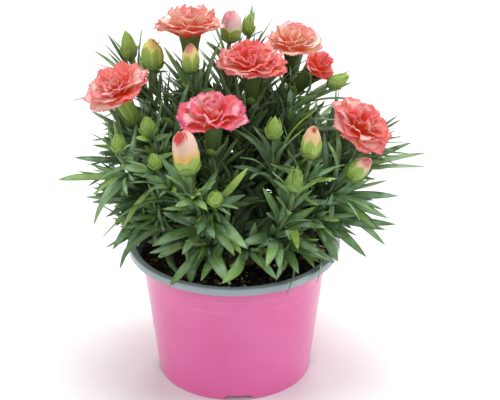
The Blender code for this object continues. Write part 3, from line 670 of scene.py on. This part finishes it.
def add_blade(piece, blade, rng, tone):
    rows = max(6, min(12, round(blade.length / MM / STATION)))
    points, along, across, under = [], [], [], []
    twist, wave = rng.uniform(-TWIST, TWIST), rng.uniform(-3, 3)
    side = blade.across
    for row in range(rows + 1):
        share = min(0.985, row / rows)
        here = blade.at(share)
        way = (blade.at(min(1, share + 0.01)) - blade.at(max(0, share - 0.01))).normalized()
        side = (side - side.project(way)).normalized()
        up = way.cross(side)
        turn = Matrix.Rotation(twist * share + 0.12 * math.sin(share * 5 + wave), 3, way)
        wide, high = turn @ side, turn @ up
        half = width_at(share) * blade.width / 2
        deep = FOLD * (1 - 0.55 * share)
        for v, below in SECTION:
            thick = BLADE_THICKNESS + (EDGE_THICKNESS - BLADE_THICKNESS) * abs(v)
            rise = deep * half * (abs(v) ** 1.25) - 0.08 * deep * half
            rise -= below * thick * (1 - 0.6 * share)
            points.append(here + wide * (v * half) + high * rise)
            along.append(share)
            across.append(v)
            under.append(below)
    faces = [face[::-1] for face in rings_joined(rows + 1, len(SECTION))]
    piece.add(points, faces, 1, along, across, under, tone)


def stem_skin():
    finish = Finish("stem_green", Specular_IOR_Level=0.35)
    where = finish.place()
    bloom = finish.noise(where, 160)
    colour = finish.mix(bloom.ease(0.35, 0.7), (0.1, 0.17, 0.05), (0.22, 0.31, 0.14))
    finish.show(colour, 0.45 + 0.2 * bloom, finish.noise(where, 900, 2), 0.2 * MM)
    return finish


# The canopy's half sizes along X, Y and Z, and the height of its middle: leaves deep inside it are
# painted dark, as painted shade where its outer leaves keep the light from the inner ones
CANOPY, CANOPY_MIDDLE = (85 * MM, 75 * MM, 85 * MM), 120 * MM


def leaf_skin():
    """Green, and laid over it in turn: fresh green, grey wax that is partly a painted highlight, a
    pale rib, edges and underside, a dry tip, painted shade deep in the canopy and at each leaf's
    root, and straw. Tone is the leaf's own colour: dark at 0, fresh near 1, withered from 1.5."""
    finish = Finish("leaf_green", Specular_IOR_Level=0.45)
    along, across, under, tone = map(finish.mark, MARKS[:4])
    where, edge = finish.place(), abs(across)
    veins = finish.noise(finish.vector(across * 6, along * 1.2, tone * 90), 1.5)
    bloom = finish.noise(where, 130)
    young = tone.ease(0.76, 0.9)
    # grey wax bloom, partly the leaf's real bloom and partly a painted highlight
    wax_and_highlight = (bloom + 0.35 * veins).ease(0.5, 0.95) * (1 - 0.7 * young)
    rib = 1 - edge.ease(0.02, 0.16)
    x, y, z = (finish.node("ShaderNodeSeparateXYZ", {}, {0: where}, k) for k in range(3))
    x, y, z = x * (1 / CANOPY[0]), y * (1 / CANOPY[1]), (z - CANOPY_MIDDLE) * (1 / CANOPY[2])
    # painted shade: leaves darker deep inside the canopy, and out towards its edge darker near their roots
    inner = 1 - (x * x + y * y + z * z).ease(0.2, 0.9)
    painted_shade = inner * 0.6 + 0.3 * (1 - inner) * (1 - along.ease(0, 0.4))
    colour = finish.over(
        finish.mix(tone.ease(0, 0.7), (0.055, 0.135, 0.024), (0.17, 0.32, 0.055)),
        (young, finish.mix(bloom.ease(0.3, 0.7), (0.24, 0.44, 0.03), (0.46, 0.66, 0.09))),
        (wax_and_highlight * 0.65, (0.38, 0.6, 0.42)),
        (rib * 0.35, (0.34, 0.5, 0.22)),
        (edge.ease(0.86, 1) * 0.4, (0.4, 0.56, 0.24)),
        (under * 0.5, (0.28, 0.42, 0.2)),
        (along.ease(0.93, 1) * 0.5, (0.4, 0.34, 0.12)),
        (painted_shade, (0.014, 0.032, 0.01)),
        (tone.ease(1.2, 1.5), finish.mix(veins.ease(0.3, 0.7), (0.3, 0.19, 0.07), (0.6, 0.46, 0.2))),
    )
    finish.show(colour, 0.33 + 0.2 * veins, veins + rib * 0.3, 0.25 * MM)
    return finish


LEAF_GREEN, STEM_GREEN = leaf_skin(), stem_skin()
SOLID = []
for name in ("pot", *HEADS):
    skin = nodes[name].data
    SOLID.append(BVHTree.FromPolygons([v.co for v in skin.vertices], [p.vertices for p in skin.polygons]))
LOW, HIGH = (Vector(corner) for corner in cad_box)
SPARE, ABOVE_PEAT, LEAF_CLEAR = Vector((3, 3, -1)) * MM, 76 * MM, 2.0 * MM
OVER_RIM, RIM_INSIDE = 88 * MM, 50 * MM
HIGH_LEAVES, LOW_LEAVES, SIDE_LEAVES, SMALL = 135 * MM, 100 * MM, 62 * MM, 18 * MM
# How many small and larger leaves are fresh, as shares
FRESH_SMALL, FRESH_LARGE = 0.42, 0.05
# Sister leaves from the same joint: how likely each is where leaves are thick and where they
# are sparse, how far it is turned and lifted in degrees, and its size as a share
SISTER_THICK, SISTER_SPARSE = 0.85, 0.35
SISTER_TURN, SISTER_LIFT, SISTER_SIZE = (12, 70), (-24, 14), (0.5, 1)
# Young leaves: the share of joints that have them, and their lengths there and in a tuft
YOUNG_JOINTS, YOUNG_LENGTH, TUFT_LENGTH = 0.55, (10, 21), (15, 24)
# How much wider or narrower a leaf is, by its height and by how far out to the side it is
WIDE_BY_HEIGHT, WIDE_BY_SIDE = ((0.1, 0.165), (1.2, 0.52)), ((0.05, 0.08), (1, 0.68))
# Withered leaves on the peat: each one's root and bearing, then their height, size and tone
WITHERED = ((39, -13, 0.1), (40, -5, -0.25), (37, -19, -0.5))
WITHERED_HEIGHT, WITHERED_LENGTH, WITHERED_WIDTH, WITHERED_TONE = 78.5, 13 * MM, 3.4 * MM, 1.6


def clear_of_heads(point):
    return all(tree.find_nearest(point, LEAF_CLEAR)[0] is None for tree in SOLID)


def fits(blade):
    """Whether a leaf that is added stays in the plant's box and off the pot, peat and heads."""
    for share in (0.3, 0.65, 1):
        point = blade.at(share)
        if any(not LOW[k] - SPARE[k] < point[k] < HIGH[k] + SPARE[k] for k in range(3)):
            return False
        lowest = OVER_RIM if math.hypot(point.x, point.y) > RIM_INSIDE else ABOVE_PEAT
        if point.z < lowest or not clear_of_heads(point):
            return False
    return True


def shade_of(blade, rng):
    """Most leaves are dark or middling, but many of the small ones are fresh."""
    likely = FRESH_SMALL if blade.length < SMALL else FRESH_LARGE
    return rng.uniform(0.8, 1) if rng.random() < likely else rng.uniform(0, 0.75)


def grown_at(blade):
    """Leaves are broad low down in front, and narrow among the flowers and out at the sides."""
    blade.width *= float(np.interp(blade.at(0.6).z, *WIDE_BY_HEIGHT))
    blade.width *= float(np.interp(abs(blade.at(0.9).x), *WIDE_BY_SIDE))
    return blade


def make_stem(name, seed):
    rng = random.Random(seed)
    mesh, leaves, ends = pulled_apart(name)
    piece = Piece()
    piece.add(*rounded_stem(mesh))
    added = []
    for stem, layers in leaves:
        blade = blade_of(stem, layers)
        crowded = blade.at(0.5).z > HIGH_LEAVES or abs(blade.at(0.9).x) > SIDE_LEAVES
        likely = SISTER_THICK if crowded or blade.at(0.6).z > LOW_LEAVES else SISTER_SPARSE
        for side in (-1, 1, -1, 1) if crowded else (-1, 1):
            if rng.random() < likely:
                turn = side * math.radians(rng.uniform(*SISTER_TURN))
                lift = math.radians(rng.uniform(*SISTER_LIFT))
                added.append(grown_at(blade.sister(turn, rng.uniform(*SISTER_SIZE), lift)))
        add_blade(piece, grown_at(blade), rng, shade_of(blade, rng))
        if rng.random() < YOUNG_JOINTS:
            way = (blade.axis - blade.up * rng.uniform(0.2, 0.7)).normalized()
            added.extend(young_leaves(blade.places[0], way, rng.uniform(*YOUNG_LENGTH) * MM, 2, rng))
    for place, way in ends:
        if way.z > -0.5 and clear_of_heads(place):
            added.extend(young_leaves(place - way * MM, way, rng.uniform(*TUFT_LENGTH) * MM, 4, rng))
    for blade in filter(fits, added):
        add_blade(piece, blade, rng, shade_of(blade, rng))
    if name == "leaf_shoot_right":
        for x, y, bearing in WITHERED:
            root = Vector((x, y, WITHERED_HEIGHT)) * MM
            side = Vector((math.cos(bearing), math.sin(bearing), 0))
            size = (WITHERED_LENGTH, WITHERED_WIDTH)
            blade = arching_blade(root, Vector((0, 0, 1)), side, *size, lean=1.3, tip=1.8)
            add_blade(piece, blade, rng, WITHERED_TONE)
    piece.fit(name + "_green", [STEM_GREEN, LEAF_GREEN], "foliage", name)


for seed, name in enumerate(STEMS):
    make_stem(name, 500 + seed)

# Calyxes: the ribbed green tube that holds a flower, grown on the end of its stem, with five
# pointed teeth at its mouth and short pointed scales that clasp its foot.


def head_of(*names):
    """The foot, axis, length and greatest radius of a turned node or nodes."""
    cloud = np.array([v.co for name in names for v in nodes[name].data.vertices])
    middle = cloud.mean(0)
    axis = np.linalg.eigh(np.cov((cloud - middle).T))[1][:, -1]
    axis = axis if axis[2] > 0 else -axis
    heights = (cloud - middle) @ axis
    out = np.linalg.norm(cloud - middle - np.outer(heights, axis), axis=1)
    return Vector(middle + axis * heights.min()), Vector(axis), np.ptp(heights), out.max()


def set_up(points, foot, axis):
    """Stands points, made about Z on the origin, on a foot along an axis."""
    turn = np.array(axis.to_track_quat("Z", "Y").to_matrix())
    return np.asarray(points).reshape(-1, 3) @ turn.T + np.array(foot)


def outline(profile, length, radius):
    """The radius at any height of a turned shape of this profile, length and greatest radius."""
    outs, heights = np.array(profile).T
    return lambda height: radius * np.interp(np.asarray(height) / length, heights, outs)


CALYX_PROFILE = ((0.42, 0), (0.6, 0.07), (0.7, 0.2), (0.76, 0.5), (0.88, 0.8), (1, 1))
TUBE_SIDES, TUBE_ROWS, TUBE_WALL, LIP_ROWS, LIP_STEP = 60, 18, 0.35 * MM, 7, 0.07
RIBS, RIB_DEPTH, TEETH, TOOTH, SPLAY = 30, 0.012, 5, 2.8 * MM, 1.2 * MM
SCALE_GRID, SCALE_THICKNESS, SCALE_FLARE = 9, 0.3 * MM, 0.3 * MM
CLASP, CLASP_TONE = 6.5 * MM, 0.4
FLOWERS = ("left", "top", "middle", "front", "back_right", "right", "small")
# How pale a calyx is painted: only the left flower's stands in the light, and the others are
# painted dark, as painted shade under their petals
LIT_CALYX_TONES, PAINTED_SHADE_TONE = {"left": 0.95}, 0.06


def add_calyx(piece, foot, axis, radius_at, mouth, teeth, tone, splay, slant=0.0):
    """A ribbed tube up to its mouth, with five teeth on it that splay. A slanted mouth is
    higher on the plant's right."""
    turns = np.arange(TUBE_SIDES) * math.tau / TUBE_SIDES
    gap = np.abs((turns * TEETH / math.tau) % 1 - 0.5) * 2
    east = axis.to_track_quat("Z", "Y").to_matrix().transposed() @ Vector((1, 0, 0))
    higher = slant * np.cos(turns - math.atan2(east.y, east.x))
    rings, along = [], []
    for wall in (0, TUBE_WALL):
        shares = 1 - np.arange(LIP_ROWS) * LIP_STEP if wall else np.linspace(0, 1, TUBE_ROWS + 1)
        for share in shares:
            height = share * mouth + teeth * (1 - gap) ** 0.8 * share**4 + higher * share**2
            ribbed = radius_at(height) * (1 + RIB_DEPTH * np.cos(turns * RIBS))
            out = ribbed + splay * (1 - gap) * share**8 - wall
            rings.append(np.column_stack([out * np.cos(turns), out * np.sin(turns), height]))
            along.extend(share + (1 - gap) * 0.25 * share**5)
    faces = rings_joined(len(rings), TUBE_SIDES)
    points = set_up(np.concatenate(rings), foot, axis)
    piece.add(points, faces, 0, along, np.tile(gap, len(rings)), 0, tone)


def add_slab(piece, points, rows, columns, thick, tone, ring=0.0):
    """A thin closed skin over a grid of points."""
    grid = np.asarray(points).reshape(rows, columns, 3)
    normal = np.cross(np.gradient(grid, axis=0), np.gradient(grid, axis=1))
    normal /= np.maximum(np.linalg.norm(normal, axis=2, keepdims=True), 1e-12)
    both = np.concatenate([(grid + normal * side * thick / 2).reshape(-1, 3) for side in (1, -1)])
    count = rows * columns
    faces = []
    for i in range(rows - 1):
        for j in range(columns - 1):
            a, b = i * columns + j, (i + 1) * columns + j
            faces.append((a, b, b + 1, a + 1))
            faces.append((a + count + 1, b + count + 1, b + count, a + count))
    rim = [(0, j) for j in range(columns)] + [(i, columns - 1) for i in range(1, rows)]
    rim += [(rows - 1, j) for j in range(columns - 2, -1, -1)] + [(i, 0) for i in range(rows - 2, 0, -1)]
    for (i, j), (m, n) in zip(rim, rim[1:] + rim[:1]):
        a, b = i * columns + j, m * columns + n
        faces.append((a, b, b + count, a + count))
    along = np.repeat(np.linspace(0, 1, rows), columns)
    across = np.tile(np.linspace(-1, 1, columns), rows)
    under = np.repeat([0, 1], count)
    piece.add(both, faces, 0, np.tile(along, 2), np.tile(across, 2), under, tone, ring)


def add_scales(piece, foot, axis, radius_at, reach, tone, rng, flare, count=4, width=52, lift=0.35):
    """Pointed scales pressed to a calyx or bud, from its foot up to their reach, with tips that
    stand off by the flare."""
    for k in range(count):
        bearing, rise = math.tau * k / count + rng.uniform(-0.2, 0.2), reach * rng.uniform(0.88, 1)
        grid = []
        for row in range(SCALE_GRID):
            share = row / (SCALE_GRID - 1)
            half = math.radians(width) * (1 - share**2.2) + 0.02
            for column in range(SCALE_GRID):
                v = column / (SCALE_GRID - 1) * 2 - 1
                out = radius_at(share * rise) + (lift + (k % 2) * 0.2 + 0.15 * (1 - v * v)) * MM
                out += flare * share**3
                turn = bearing + v * half
                grid.append((out * math.cos(turn), out * math.sin(turn), share * rise))
        add_slab(piece, set_up(grid, foot, axis), SCALE_GRID, SCALE_GRID, SCALE_THICKNESS, tone)


def calyx_skin():
    """Dark green where tone is 0, as on the flowers' calyxes painted in shade, and light
    yellow-green where it is 1, with paler veins.
    """
    finish = Finish("calyx_green", Specular_IOR_Level=0.4)
    along, across, tone = finish.mark("along"), finish.mark("across"), finish.mark("tone")
    veins = finish.noise(finish.vector(across * 9, along * 1.5, tone * 20), 2)
    cloud = finish.noise(finish.place(), 220)
    rise = along.ease(0, 0.9)
    colour = finish.over(
        finish.mix(rise, (0.018, 0.04, 0.008), (0.045, 0.085, 0.016)),
        (tone * along.ease(-0.3, 0.4), finish.mix(rise, (0.13, 0.29, 0.03), (0.36, 0.54, 0.1))),
        (veins.ease(0.48, 0.75) * tone * 0.5, (0.44, 0.65, 0.2)),
        (cloud.ease(0.55, 0.8) * tone * 0.4, (0.5, 0.7, 0.36)),
        (abs(across).ease(0.72, 1) * tone * 0.5, (0.6, 0.74, 0.16)),
        (along.ease(1.02, 1.3) * 0.6, (0.5, 0.42, 0.14)),
    )
    finish.show(colour, 0.36 + 0.2 * cloud, veins + cloud * 0.5, 0.3 * MM)
    return finish


CALYX_GREEN = calyx_skin()
for seed, name in enumerate(FLOWERS):
    rng = random.Random(900 + seed)
    foot, axis, length, radius = head_of("calyx_" + name)
    radius_at = outline(CALYX_PROFILE, length, radius)
    piece = Piece()
    add_calyx(piece, foot, axis, radius_at, length, TOOTH, LIT_CALYX_TONES.get(name, PAINTED_SHADE_TONE), SPLAY)
    add_scales(piece, foot, axis, radius_at, CLASP, CLASP_TONE, rng, SCALE_FLARE)
    piece.fit("calyx_" + name + "_tube", [CALYX_GREEN], "calyx", "calyx_" + name)

# Flowers: each has about thirty petals in five rings, the outer ones spread flat and the inner
# ones upright. A petal is a narrow claw that opens into a fan with a toothed edge: orange-red
# at its foot, coral and then pale pink further out, with a pinker edge and a cream underside.
# The petals also glow a little in orange-red, a painted glow for light that passes through them.
COROLLA_FOOT, PETAL_THICKNESS = 2.5 * MM, 0.2 * MM
PETAL_ROWS, PETAL_COLUMNS = 14, 25
# A ring's petals: how many, their lean from upright, and half width, ruffle and reach as shares
PETAL_RINGS = (
    (6, 98, 0.6, 0.03, 1.0), (6, 80, 0.54, 0.045, 0.97), (6, 60, 0.46, 0.07, 0.95),
    (6, 38, 0.37, 0.1, 0.97), (6, 16, 0.28, 0.12, 0.98),
)
# The flower that has no petals in front in its outer rings, and how far the gap reaches
OPEN_FLOWER, OUTER_RINGS, OPEN_SECTOR = "front", 2, math.radians(38)


def petal_skin(name, foot, middle, pale, edge, below, streak):
    """Colours along a petal, with streaks of the paler one, and a painted glow: the petal emits a
    little light, half of it its foot's orange-red, for light through it. Ring is 0 for the outermost petals.
    """
    finish = Finish(
        "petal_" + name, Specular_IOR_Level=0.25, Subsurface_Weight=0.35, Subsurface_Scale=0.0025,
        Subsurface_Radius=(1.0, 0.3, 0.2), Emission_Strength=0.15,
    )
    along, across, under, tone, ring = map(finish.mark, MARKS)
    veins = finish.noise(finish.vector(across * 5, along * 0.8, tone * 70), 1.6, 4, 0.6)
    patch = finish.noise(finish.vector(across * 1.5, along * 1.5, tone * 50), 1.3, 2)
    reach = along + 0.35 * veins - 0.17
    streaks = 0.3 + streak * veins.ease(0.4, 0.6)
    faded = (reach + 0.6 * patch).ease(0.85, 1.3) * streaks * (0.4 + 0.6 * tone)
    colour = finish.over(
        finish.mix(reach.ease(0.42, 0.85), foot, middle),
        (faded, pale),
        (tone.ease(0.5, 0.7) * reach.ease(0.4, 0.75) * 0.9, pale),
        (under * patch.ease(0.4, 0.62) * 0.9, finish.mix(reach.ease(0.4, 0.8), foot, below)),
        (ring * 0.2, edge),
        ((along + 0.2 * veins).ease(0.98, 1.1) * 0.8, edge),
    )
    # painted glow: emission, half of it the foot colour and the rest the petal's own colour further out
    painted_glow = finish.mix(reach.ease(0.5, 1.1) * 0.5, foot, colour)
    finish.feed(finish.shader.inputs["Emission Color"], painted_glow)
    finish.show(colour, 0.5 + 0.25 * veins, veins, 0.4 * MM)
    return finish


def petal(rng, reach, height, half, ruffle, cup):
    """A fan of points about +X: it rises from the calyx and its edge ends reach out, height up."""
    root = rng.uniform(0.5, 1.5) * MM
    bend_out, bend_up = root + 0.1 * reach, max(0.42 * height, 4 * MM)
    lean_out, lean_up = reach - bend_out, height - bend_up
    third_out = bend_out + 0.65 * lean_out - 0.1 * abs(lean_out)
    third_up = bend_up + 0.65 * lean_up + 0.18 * reach
    u = np.linspace(0, 1, PETAL_ROWS)[:, None]
    v = np.linspace(-1, 1, PETAL_COLUMNS)[None, :]
    phase, waves = rng.random(4) * math.tau, rng.uniform(1.1, 2.0)
    tooth = 0.045 * (np.arange(PETAL_COLUMNS) % 2) + np.abs(rng.uniform(-1, 1, PETAL_COLUMNS)) * 0.018
    t = u * (1 - (0.24 * v**2 + 0.05 * np.sin(v * 4 + phase[0])) * u**1.5 - tooth[None, :] * u**9)
    a, b, c, d = (1 - t) ** 3, 3 * t * (1 - t) ** 2, 3 * t * t * (1 - t), t**3
    out = a * root + b * bend_out + c * third_out + d * reach
    up = b * bend_up + c * third_up + d * height
    slope_out, slope_up = np.gradient(out, axis=0), np.gradient(up, axis=0)
    size = np.maximum(np.hypot(slope_out, slope_up), 1e-9)
    fan = 0.13 + 0.87 * np.clip((u - 0.1) / 0.8, 0, 1) ** 1.1
    grow = u**2.2
    wave = np.sin(waves * v * math.pi + phase[1]) + 0.4 * np.sin(2.3 * waves * v * math.pi + phase[2])
    bend = ruffle * grow * wave
    bend = bend + ruffle * 0.3 * grow * np.sin(9 * u + phase[3]) * v + cup * half * fan * v**2
    side = v * half * fan * (1 - 0.08 * grow)
    return np.stack([out - slope_up / size * bend, side, up + slope_out / size * bend], axis=2)


def make_flower(name, seed, skin, petals):
    rng = np.random.default_rng(seed)
    foot, axis, _, _ = head_of("calyx_" + name)
    cloud = np.array([v.co for v in nodes["petals_" + name].data.vertices]) - np.array(foot)
    heights = cloud @ np.array(axis)
    spread = np.linalg.norm(cloud - np.outer(heights, np.array(axis)), axis=1).max()
    base = heights.min() - COROLLA_FOOT
    rise = heights.max() - heights.min()
    turn = np.array(axis.to_track_quat("Z", "Y").to_matrix())
    piece = Piece()
    for ring, (count, lean, half, ruffle, stretch) in enumerate(PETAL_RINGS):
        count, start = round(count * petals), rng.random() * math.tau
        for k in range(count):
            bearing = start + math.tau * k / count + rng.uniform(-0.18, 0.18)
            polar = math.radians(lean) + rng.uniform(-1, 1) * (0.12 + 0.05 * ring)
            far = stretch * rng.uniform(0.86, 1.0)
            reach = max(spread * math.sin(polar) * far, 1.2 * MM)
            height = COROLLA_FOOT + rise * (0.36 + 0.62 * math.cos(polar) * far)
            wide = spread * half * rng.uniform(0.88, 1.12)
            deep = spread * ruffle * rng.uniform(0.7, 1.3)
            grid = petal(rng, reach, height, wide, deep, rng.uniform(-0.1, 0.35) * ring / 4)
            shade = float(rng.random())
            way = turn @ (math.cos(bearing), math.sin(bearing), 0)
            if name == OPEN_FLOWER and ring < OUTER_RINGS and -way[1] > math.cos(OPEN_SECTOR):
                continue
            grid = grid @ np.array(Matrix.Rotation(bearing, 3, "Z")).T
            points = set_up(grid.reshape(-1, 3), foot + axis * base, axis)
            add_slab(piece, points, PETAL_ROWS, PETAL_COLUMNS, PETAL_THICKNESS, shade, ring / 4)
    piece.fit("petals_" + name + "_open", [skin], "petals", "petals_" + name)


FLAME, CORAL, BLUSH = (0.7, 0.07, 0.014), (0.69, 0.12, 0.07), (0.76, 0.57, 0.51)
ROSE, CREAM = (0.63, 0.075, 0.15), (0.85, 0.7, 0.54)
# Each flower's colours at its petals' foot and middle, where they pale, at their edge and
# beneath, then how streaked they are, and how many petals it has as a share of the usual
PAINTS = {
    "left": (FLAME, CORAL, BLUSH, ROSE, CREAM, 0.6, 1),
    "top": (FLAME, (0.75, 0.29, 0.18), (0.8, 0.71, 0.6), ROSE, (0.84, 0.76, 0.62), 0.7, 1),
    "middle": (FLAME, (0.64, 0.09, 0.05), (0.74, 0.45, 0.38), ROSE, BLUSH, 0.5, 1.1),
    "front": (FLAME, (0.59, 0.055, 0.08), (0.74, 0.44, 0.45), (0.6, 0.05, 0.18), CREAM, 0.5, 1),
    "back_right": ((0.76, 0.18, 0.07), (0.79, 0.45, 0.32), (0.82, 0.73, 0.62), ROSE, CREAM, 0.7, 1),
    "right": (FLAME, (0.67, 0.11, 0.065), (0.76, 0.55, 0.5), ROSE, CREAM, 0.5, 1),
    "small": (FLAME, (0.66, 0.115, 0.07), (0.75, 0.42, 0.38), ROSE, CORAL, 0.45, 0.75),
}
for seed, name in enumerate(FLOWERS):
    *paints, petals = PAINTS[name]
    make_flower(name, 40 + seed, petal_skin(name, *paints), petals)

# Opening buds: a furled roll of petals, crumpled and darker at its tip, that pushes out of a
# green calyx whose five teeth have just parted. Each has grown on the end of a stem.
BLUNT = ((0.4, 0), (0.78, 0.1), (0.96, 0.28), (1, 0.5), (0.95, 0.68), (0.8, 0.84), (0.5, 0.95), (0.1, 1))
POINTED = ((0.38, 0), (0.74, 0.1), (0.95, 0.28), (1, 0.42), (0.9, 0.62), (0.64, 0.8), (0.34, 0.93), (0.06, 1))
FURLED_ROWS, FURLED_COLUMNS, FURLED_FOOT = 15, 15, 0.22
FURLED, FURLED_OUTER, FURLED_HALF, FURLED_THICKNESS = 9, 5, math.radians(66), 0.3 * MM
CRUMPLE, CRUMPLES = 0.5 * MM, 4000
PARTED_TONE, PARTED_SPLAY, PARTED_CLASP, PARTED_CLASP_TONE = 0.8, 0.15 * MM, 0.26, 0.5


def furled_skin(name, foot, middle, tip):
    """Petal colours from the calyx up the roll, streaked along it, and in the blotch, which is
    held as ring, where the petals' crumpled edges show, darker in patches as painted shade in their folds."""
    finish = Finish(
        "furled_" + name, Specular_IOR_Level=0.35, Subsurface_Weight=0.3, Subsurface_Scale=0.003,
        Subsurface_Radius=(1.0, 0.4, 0.2),
    )
    along, across, tone = finish.mark("along"), finish.mark("across"), finish.mark("tone")
    veins = finish.noise(finish.vector(across * 4, along * 0.7, tone * 40), 2, 4)
    fold_shade = finish.noise(finish.place(), 700, 2).ease(0.42, 0.6)
    colour = finish.mix((along + 0.3 * veins).ease(0.45, 0.75), foot, middle)
    # painted shade: the blotch's colour darker in patches, as shade in the folds of the crumpled edges
    tip = finish.mix(fold_shade * 0.7, tip, tuple(0.78 * part for part in tip))
    colour = finish.mix((finish.mark("ring") + 0.7 * veins).ease(0.6, 1.0), colour, tip)
    finish.show(colour, 0.4 + 0.2 * veins, veins, 0.3 * MM)
    return finish


def make_opening(name, seed, skin, profile, mouth, teeth, slant, blotch, spread):
    rng = np.random.default_rng(seed)
    foot, axis, length, radius = head_of("bud_calyx_" + name, "bud_petals_" + name)
    radius_at = outline(profile, length, radius)
    u = np.linspace(0, 1, FURLED_ROWS)[:, None]
    v = np.linspace(-1, 1, FURLED_COLUMNS)[None, :]
    middle = np.array(foot + axis * length * 0.94 + Vector((blotch, -0.45, 0)) * radius)
    low = FURLED_FOOT * length
    piece = Piece()
    for k in range(FURLED):
        bearing, phase = 2.4 * k + rng.uniform(-0.2, 0.2), rng.random() * math.tau
        outer = k < FURLED_OUTER
        layer = 0.95 - 0.015 * k if outer else 0.8 - 0.2 * (k - FURLED_OUTER)
        top = length * (1 - 0.06 * rng.random() * outer) - 0.12 * length * v**2 * outer
        height = low + (top - low) * u
        out = radius_at(height) * (layer + 0.025 * v) + 0.1 * MM * np.sin(5 * v + 3 * u + phase)
        out = out + 0.2 * MM * u**5 * np.sin(7 * v + phase)
        turn = bearing + v * FURLED_HALF * (1 - 0.2 * u) + 0.6 * u
        grid = np.stack([out * np.cos(turn), out * np.sin(turn), height], axis=2)
        points = set_up(grid.reshape(-1, 3), foot, axis)
        near = 1 - np.linalg.norm(points - middle, axis=1) / (spread * radius)
        crumple = CRUMPLE * np.clip(near, 0, 1) * np.sin(points[:, 0] * CRUMPLES + phase)
        points += np.array(axis) * crumple[:, None]
        shade = float(rng.random())
        add_slab(piece, points, FURLED_ROWS, FURLED_COLUMNS, FURLED_THICKNESS, shade, np.tile(near, 2))
    piece.fit("bud_petals_" + name + "_furled", [skin], "bud_petals", "bud_petals_" + name)
    piece, clasp, draws = Piece(), PARTED_CLASP * length, random.Random(seed)
    mouth, teeth, slant = mouth * length, teeth * length, slant * MM
    add_calyx(piece, foot, axis, radius_at, mouth, teeth, PARTED_TONE, PARTED_SPLAY, slant)
    add_scales(piece, foot, axis, radius_at, clasp, PARTED_CLASP_TONE, draws, SCALE_FLARE, lift=0.2)
    piece.fit("bud_calyx_" + name + "_tube", [CALYX_GREEN], "bud_green", "bud_calyx_" + name)


PEACH, YELLOW, RED = (0.88, 0.52, 0.4), (0.84, 0.64, 0.16), (0.6, 0.03, 0.035)
# Each bud: its petals' colours at the calyx, further up and in the blotch; its outline; how far
# up its calyx and teeth reach as shares of its length; how much its mouth slants, in
# millimetres; and where its blotch lies and how wide it is, as shares of its radius
OPENING = {
    "top_pink": ((0.86, 0.78, 0.6), (0.88, 0.58, 0.54), (0.85, 0.28, 0.32), BLUNT, 0.4, 0.12, 0, -0.4, 1.2),
    "yellow": (YELLOW, (0.9, 0.72, 0.18), (0.92, 0.6, 0.2), POINTED, 0.62, 0.16, -1.2, 0.3, 1.0),
    "upper": (YELLOW, (0.9, 0.68, 0.24), (0.84, 0.3, 0.22), POINTED, 0.4, 0.3, 0.6, -0.3, 1.3),
    "front_red": ((0.84, 0.46, 0.12), PEACH, (0.66, 0.04, 0.05), BLUNT, 0.32, 0.1, 1.7, -0.35, 1.1),
    "peach": (YELLOW, (0.88, 0.5, 0.28), RED, POINTED, 0.44, 0.24, -0.6, 0.1, 0.6),
    "right_low": ((0.6, 0.62, 0.16), PEACH, (0.75, 0.2, 0.18), POINTED, 0.5, 0.25, 0.6, -0.2, 1.0),
}
for seed, (name, (foot, middle, tip, *shape)) in enumerate(OPENING.items()):
    make_opening(name, 70 + seed, furled_skin(name, foot, middle, tip), *shape)

# Closed buds: five pointed sepals pressed together into an egg, in a cup of shorter scales.
# They are firm and green, and each has grown on the end of a stem or a side shoot.
BUD_PROFILE = (
    (0.36, 0), (0.78, 0.12), (0.97, 0.3), (1, 0.42), (0.86, 0.6), (0.55, 0.8), (0.22, 0.94), (0.03, 1),
)
OPENED = ("bud_calyx", "bud_petals")
BUDS = sorted(name for name in HEADS if name.startswith("bud_") and not name.startswith(OPENED))
EGG_SIDES, EGG_ROWS, SEPALS = 40, 16, 5
# How far the tips of a bud's sepals stand off, in millimetres, and of those that are shut
FLARED, SHUT = {"bud_right_front": 1.5, "bud_left_high": 0.0, "bud_centre": 0.9}, 0.4


def make_bud(name, seed):
    rng = random.Random(seed)
    foot, axis, length, radius = head_of(name)
    radius_at = outline(BUD_PROFILE, 0.96 * length, 0.9 * radius)
    turns = np.arange(EGG_SIDES) * math.tau / EGG_SIDES
    rings, along = [], []
    for share in np.linspace(0, 1, EGG_ROWS + 1):
        height = 0.94 * share * length
        out = radius_at(height) * (1 + 0.03 * np.cos(SEPALS * turns + 3 * share))
        rings.append(np.column_stack([out * np.cos(turns), out * np.sin(turns), np.full(EGG_SIDES, height)]))
        along.extend(np.full(EGG_SIDES, share))
    piece = Piece()
    pale = rng.uniform(0.6, 1)
    faces = rings_joined(EGG_ROWS + 1, EGG_SIDES)
    across = np.tile(0.5 * np.cos(SEPALS * turns), EGG_ROWS + 1)
    piece.add(set_up(np.concatenate(rings), foot, axis), faces, 0, along, across, 0, pale)
    flare = FLARED.get(name, SHUT) * MM
    add_scales(piece, foot, axis, radius_at, 0.99 * length, pale, rng, flare, SEPALS, width=44, lift=0.1)
    add_scales(piece, foot, axis, radius_at, 0.45 * length, 0.65, rng, 0.25 * MM, width=56, lift=0.5)
    piece.fit(name + "_sepals", [CALYX_GREEN], "bud_green", name)


for seed, name in enumerate(BUDS):
    make_bud(name, 60 + seed)

# The table: white paper under the pot that runs on past the picture on every side. It is only
# there for the plant to stand on.
table = bpy.data.meshes.new("table")
table.from_pydata([(-6, -6, 0), (6, -6, 0), (6, 8, 0), (-6, 8, 0)], [], [(0, 1, 2, 3)])
paper = Finish("white_paper", Specular_IOR_Level=0.1)
where = paper.place()
white = paper.mix(paper.noise(where, 3), (0.9, 0.9, 0.9), (0.92, 0.92, 0.92))
paper.show(white, 0.9, paper.noise(where, 900), 0.1 * MM)
table.materials.append(paper.material)
placed("table", table)
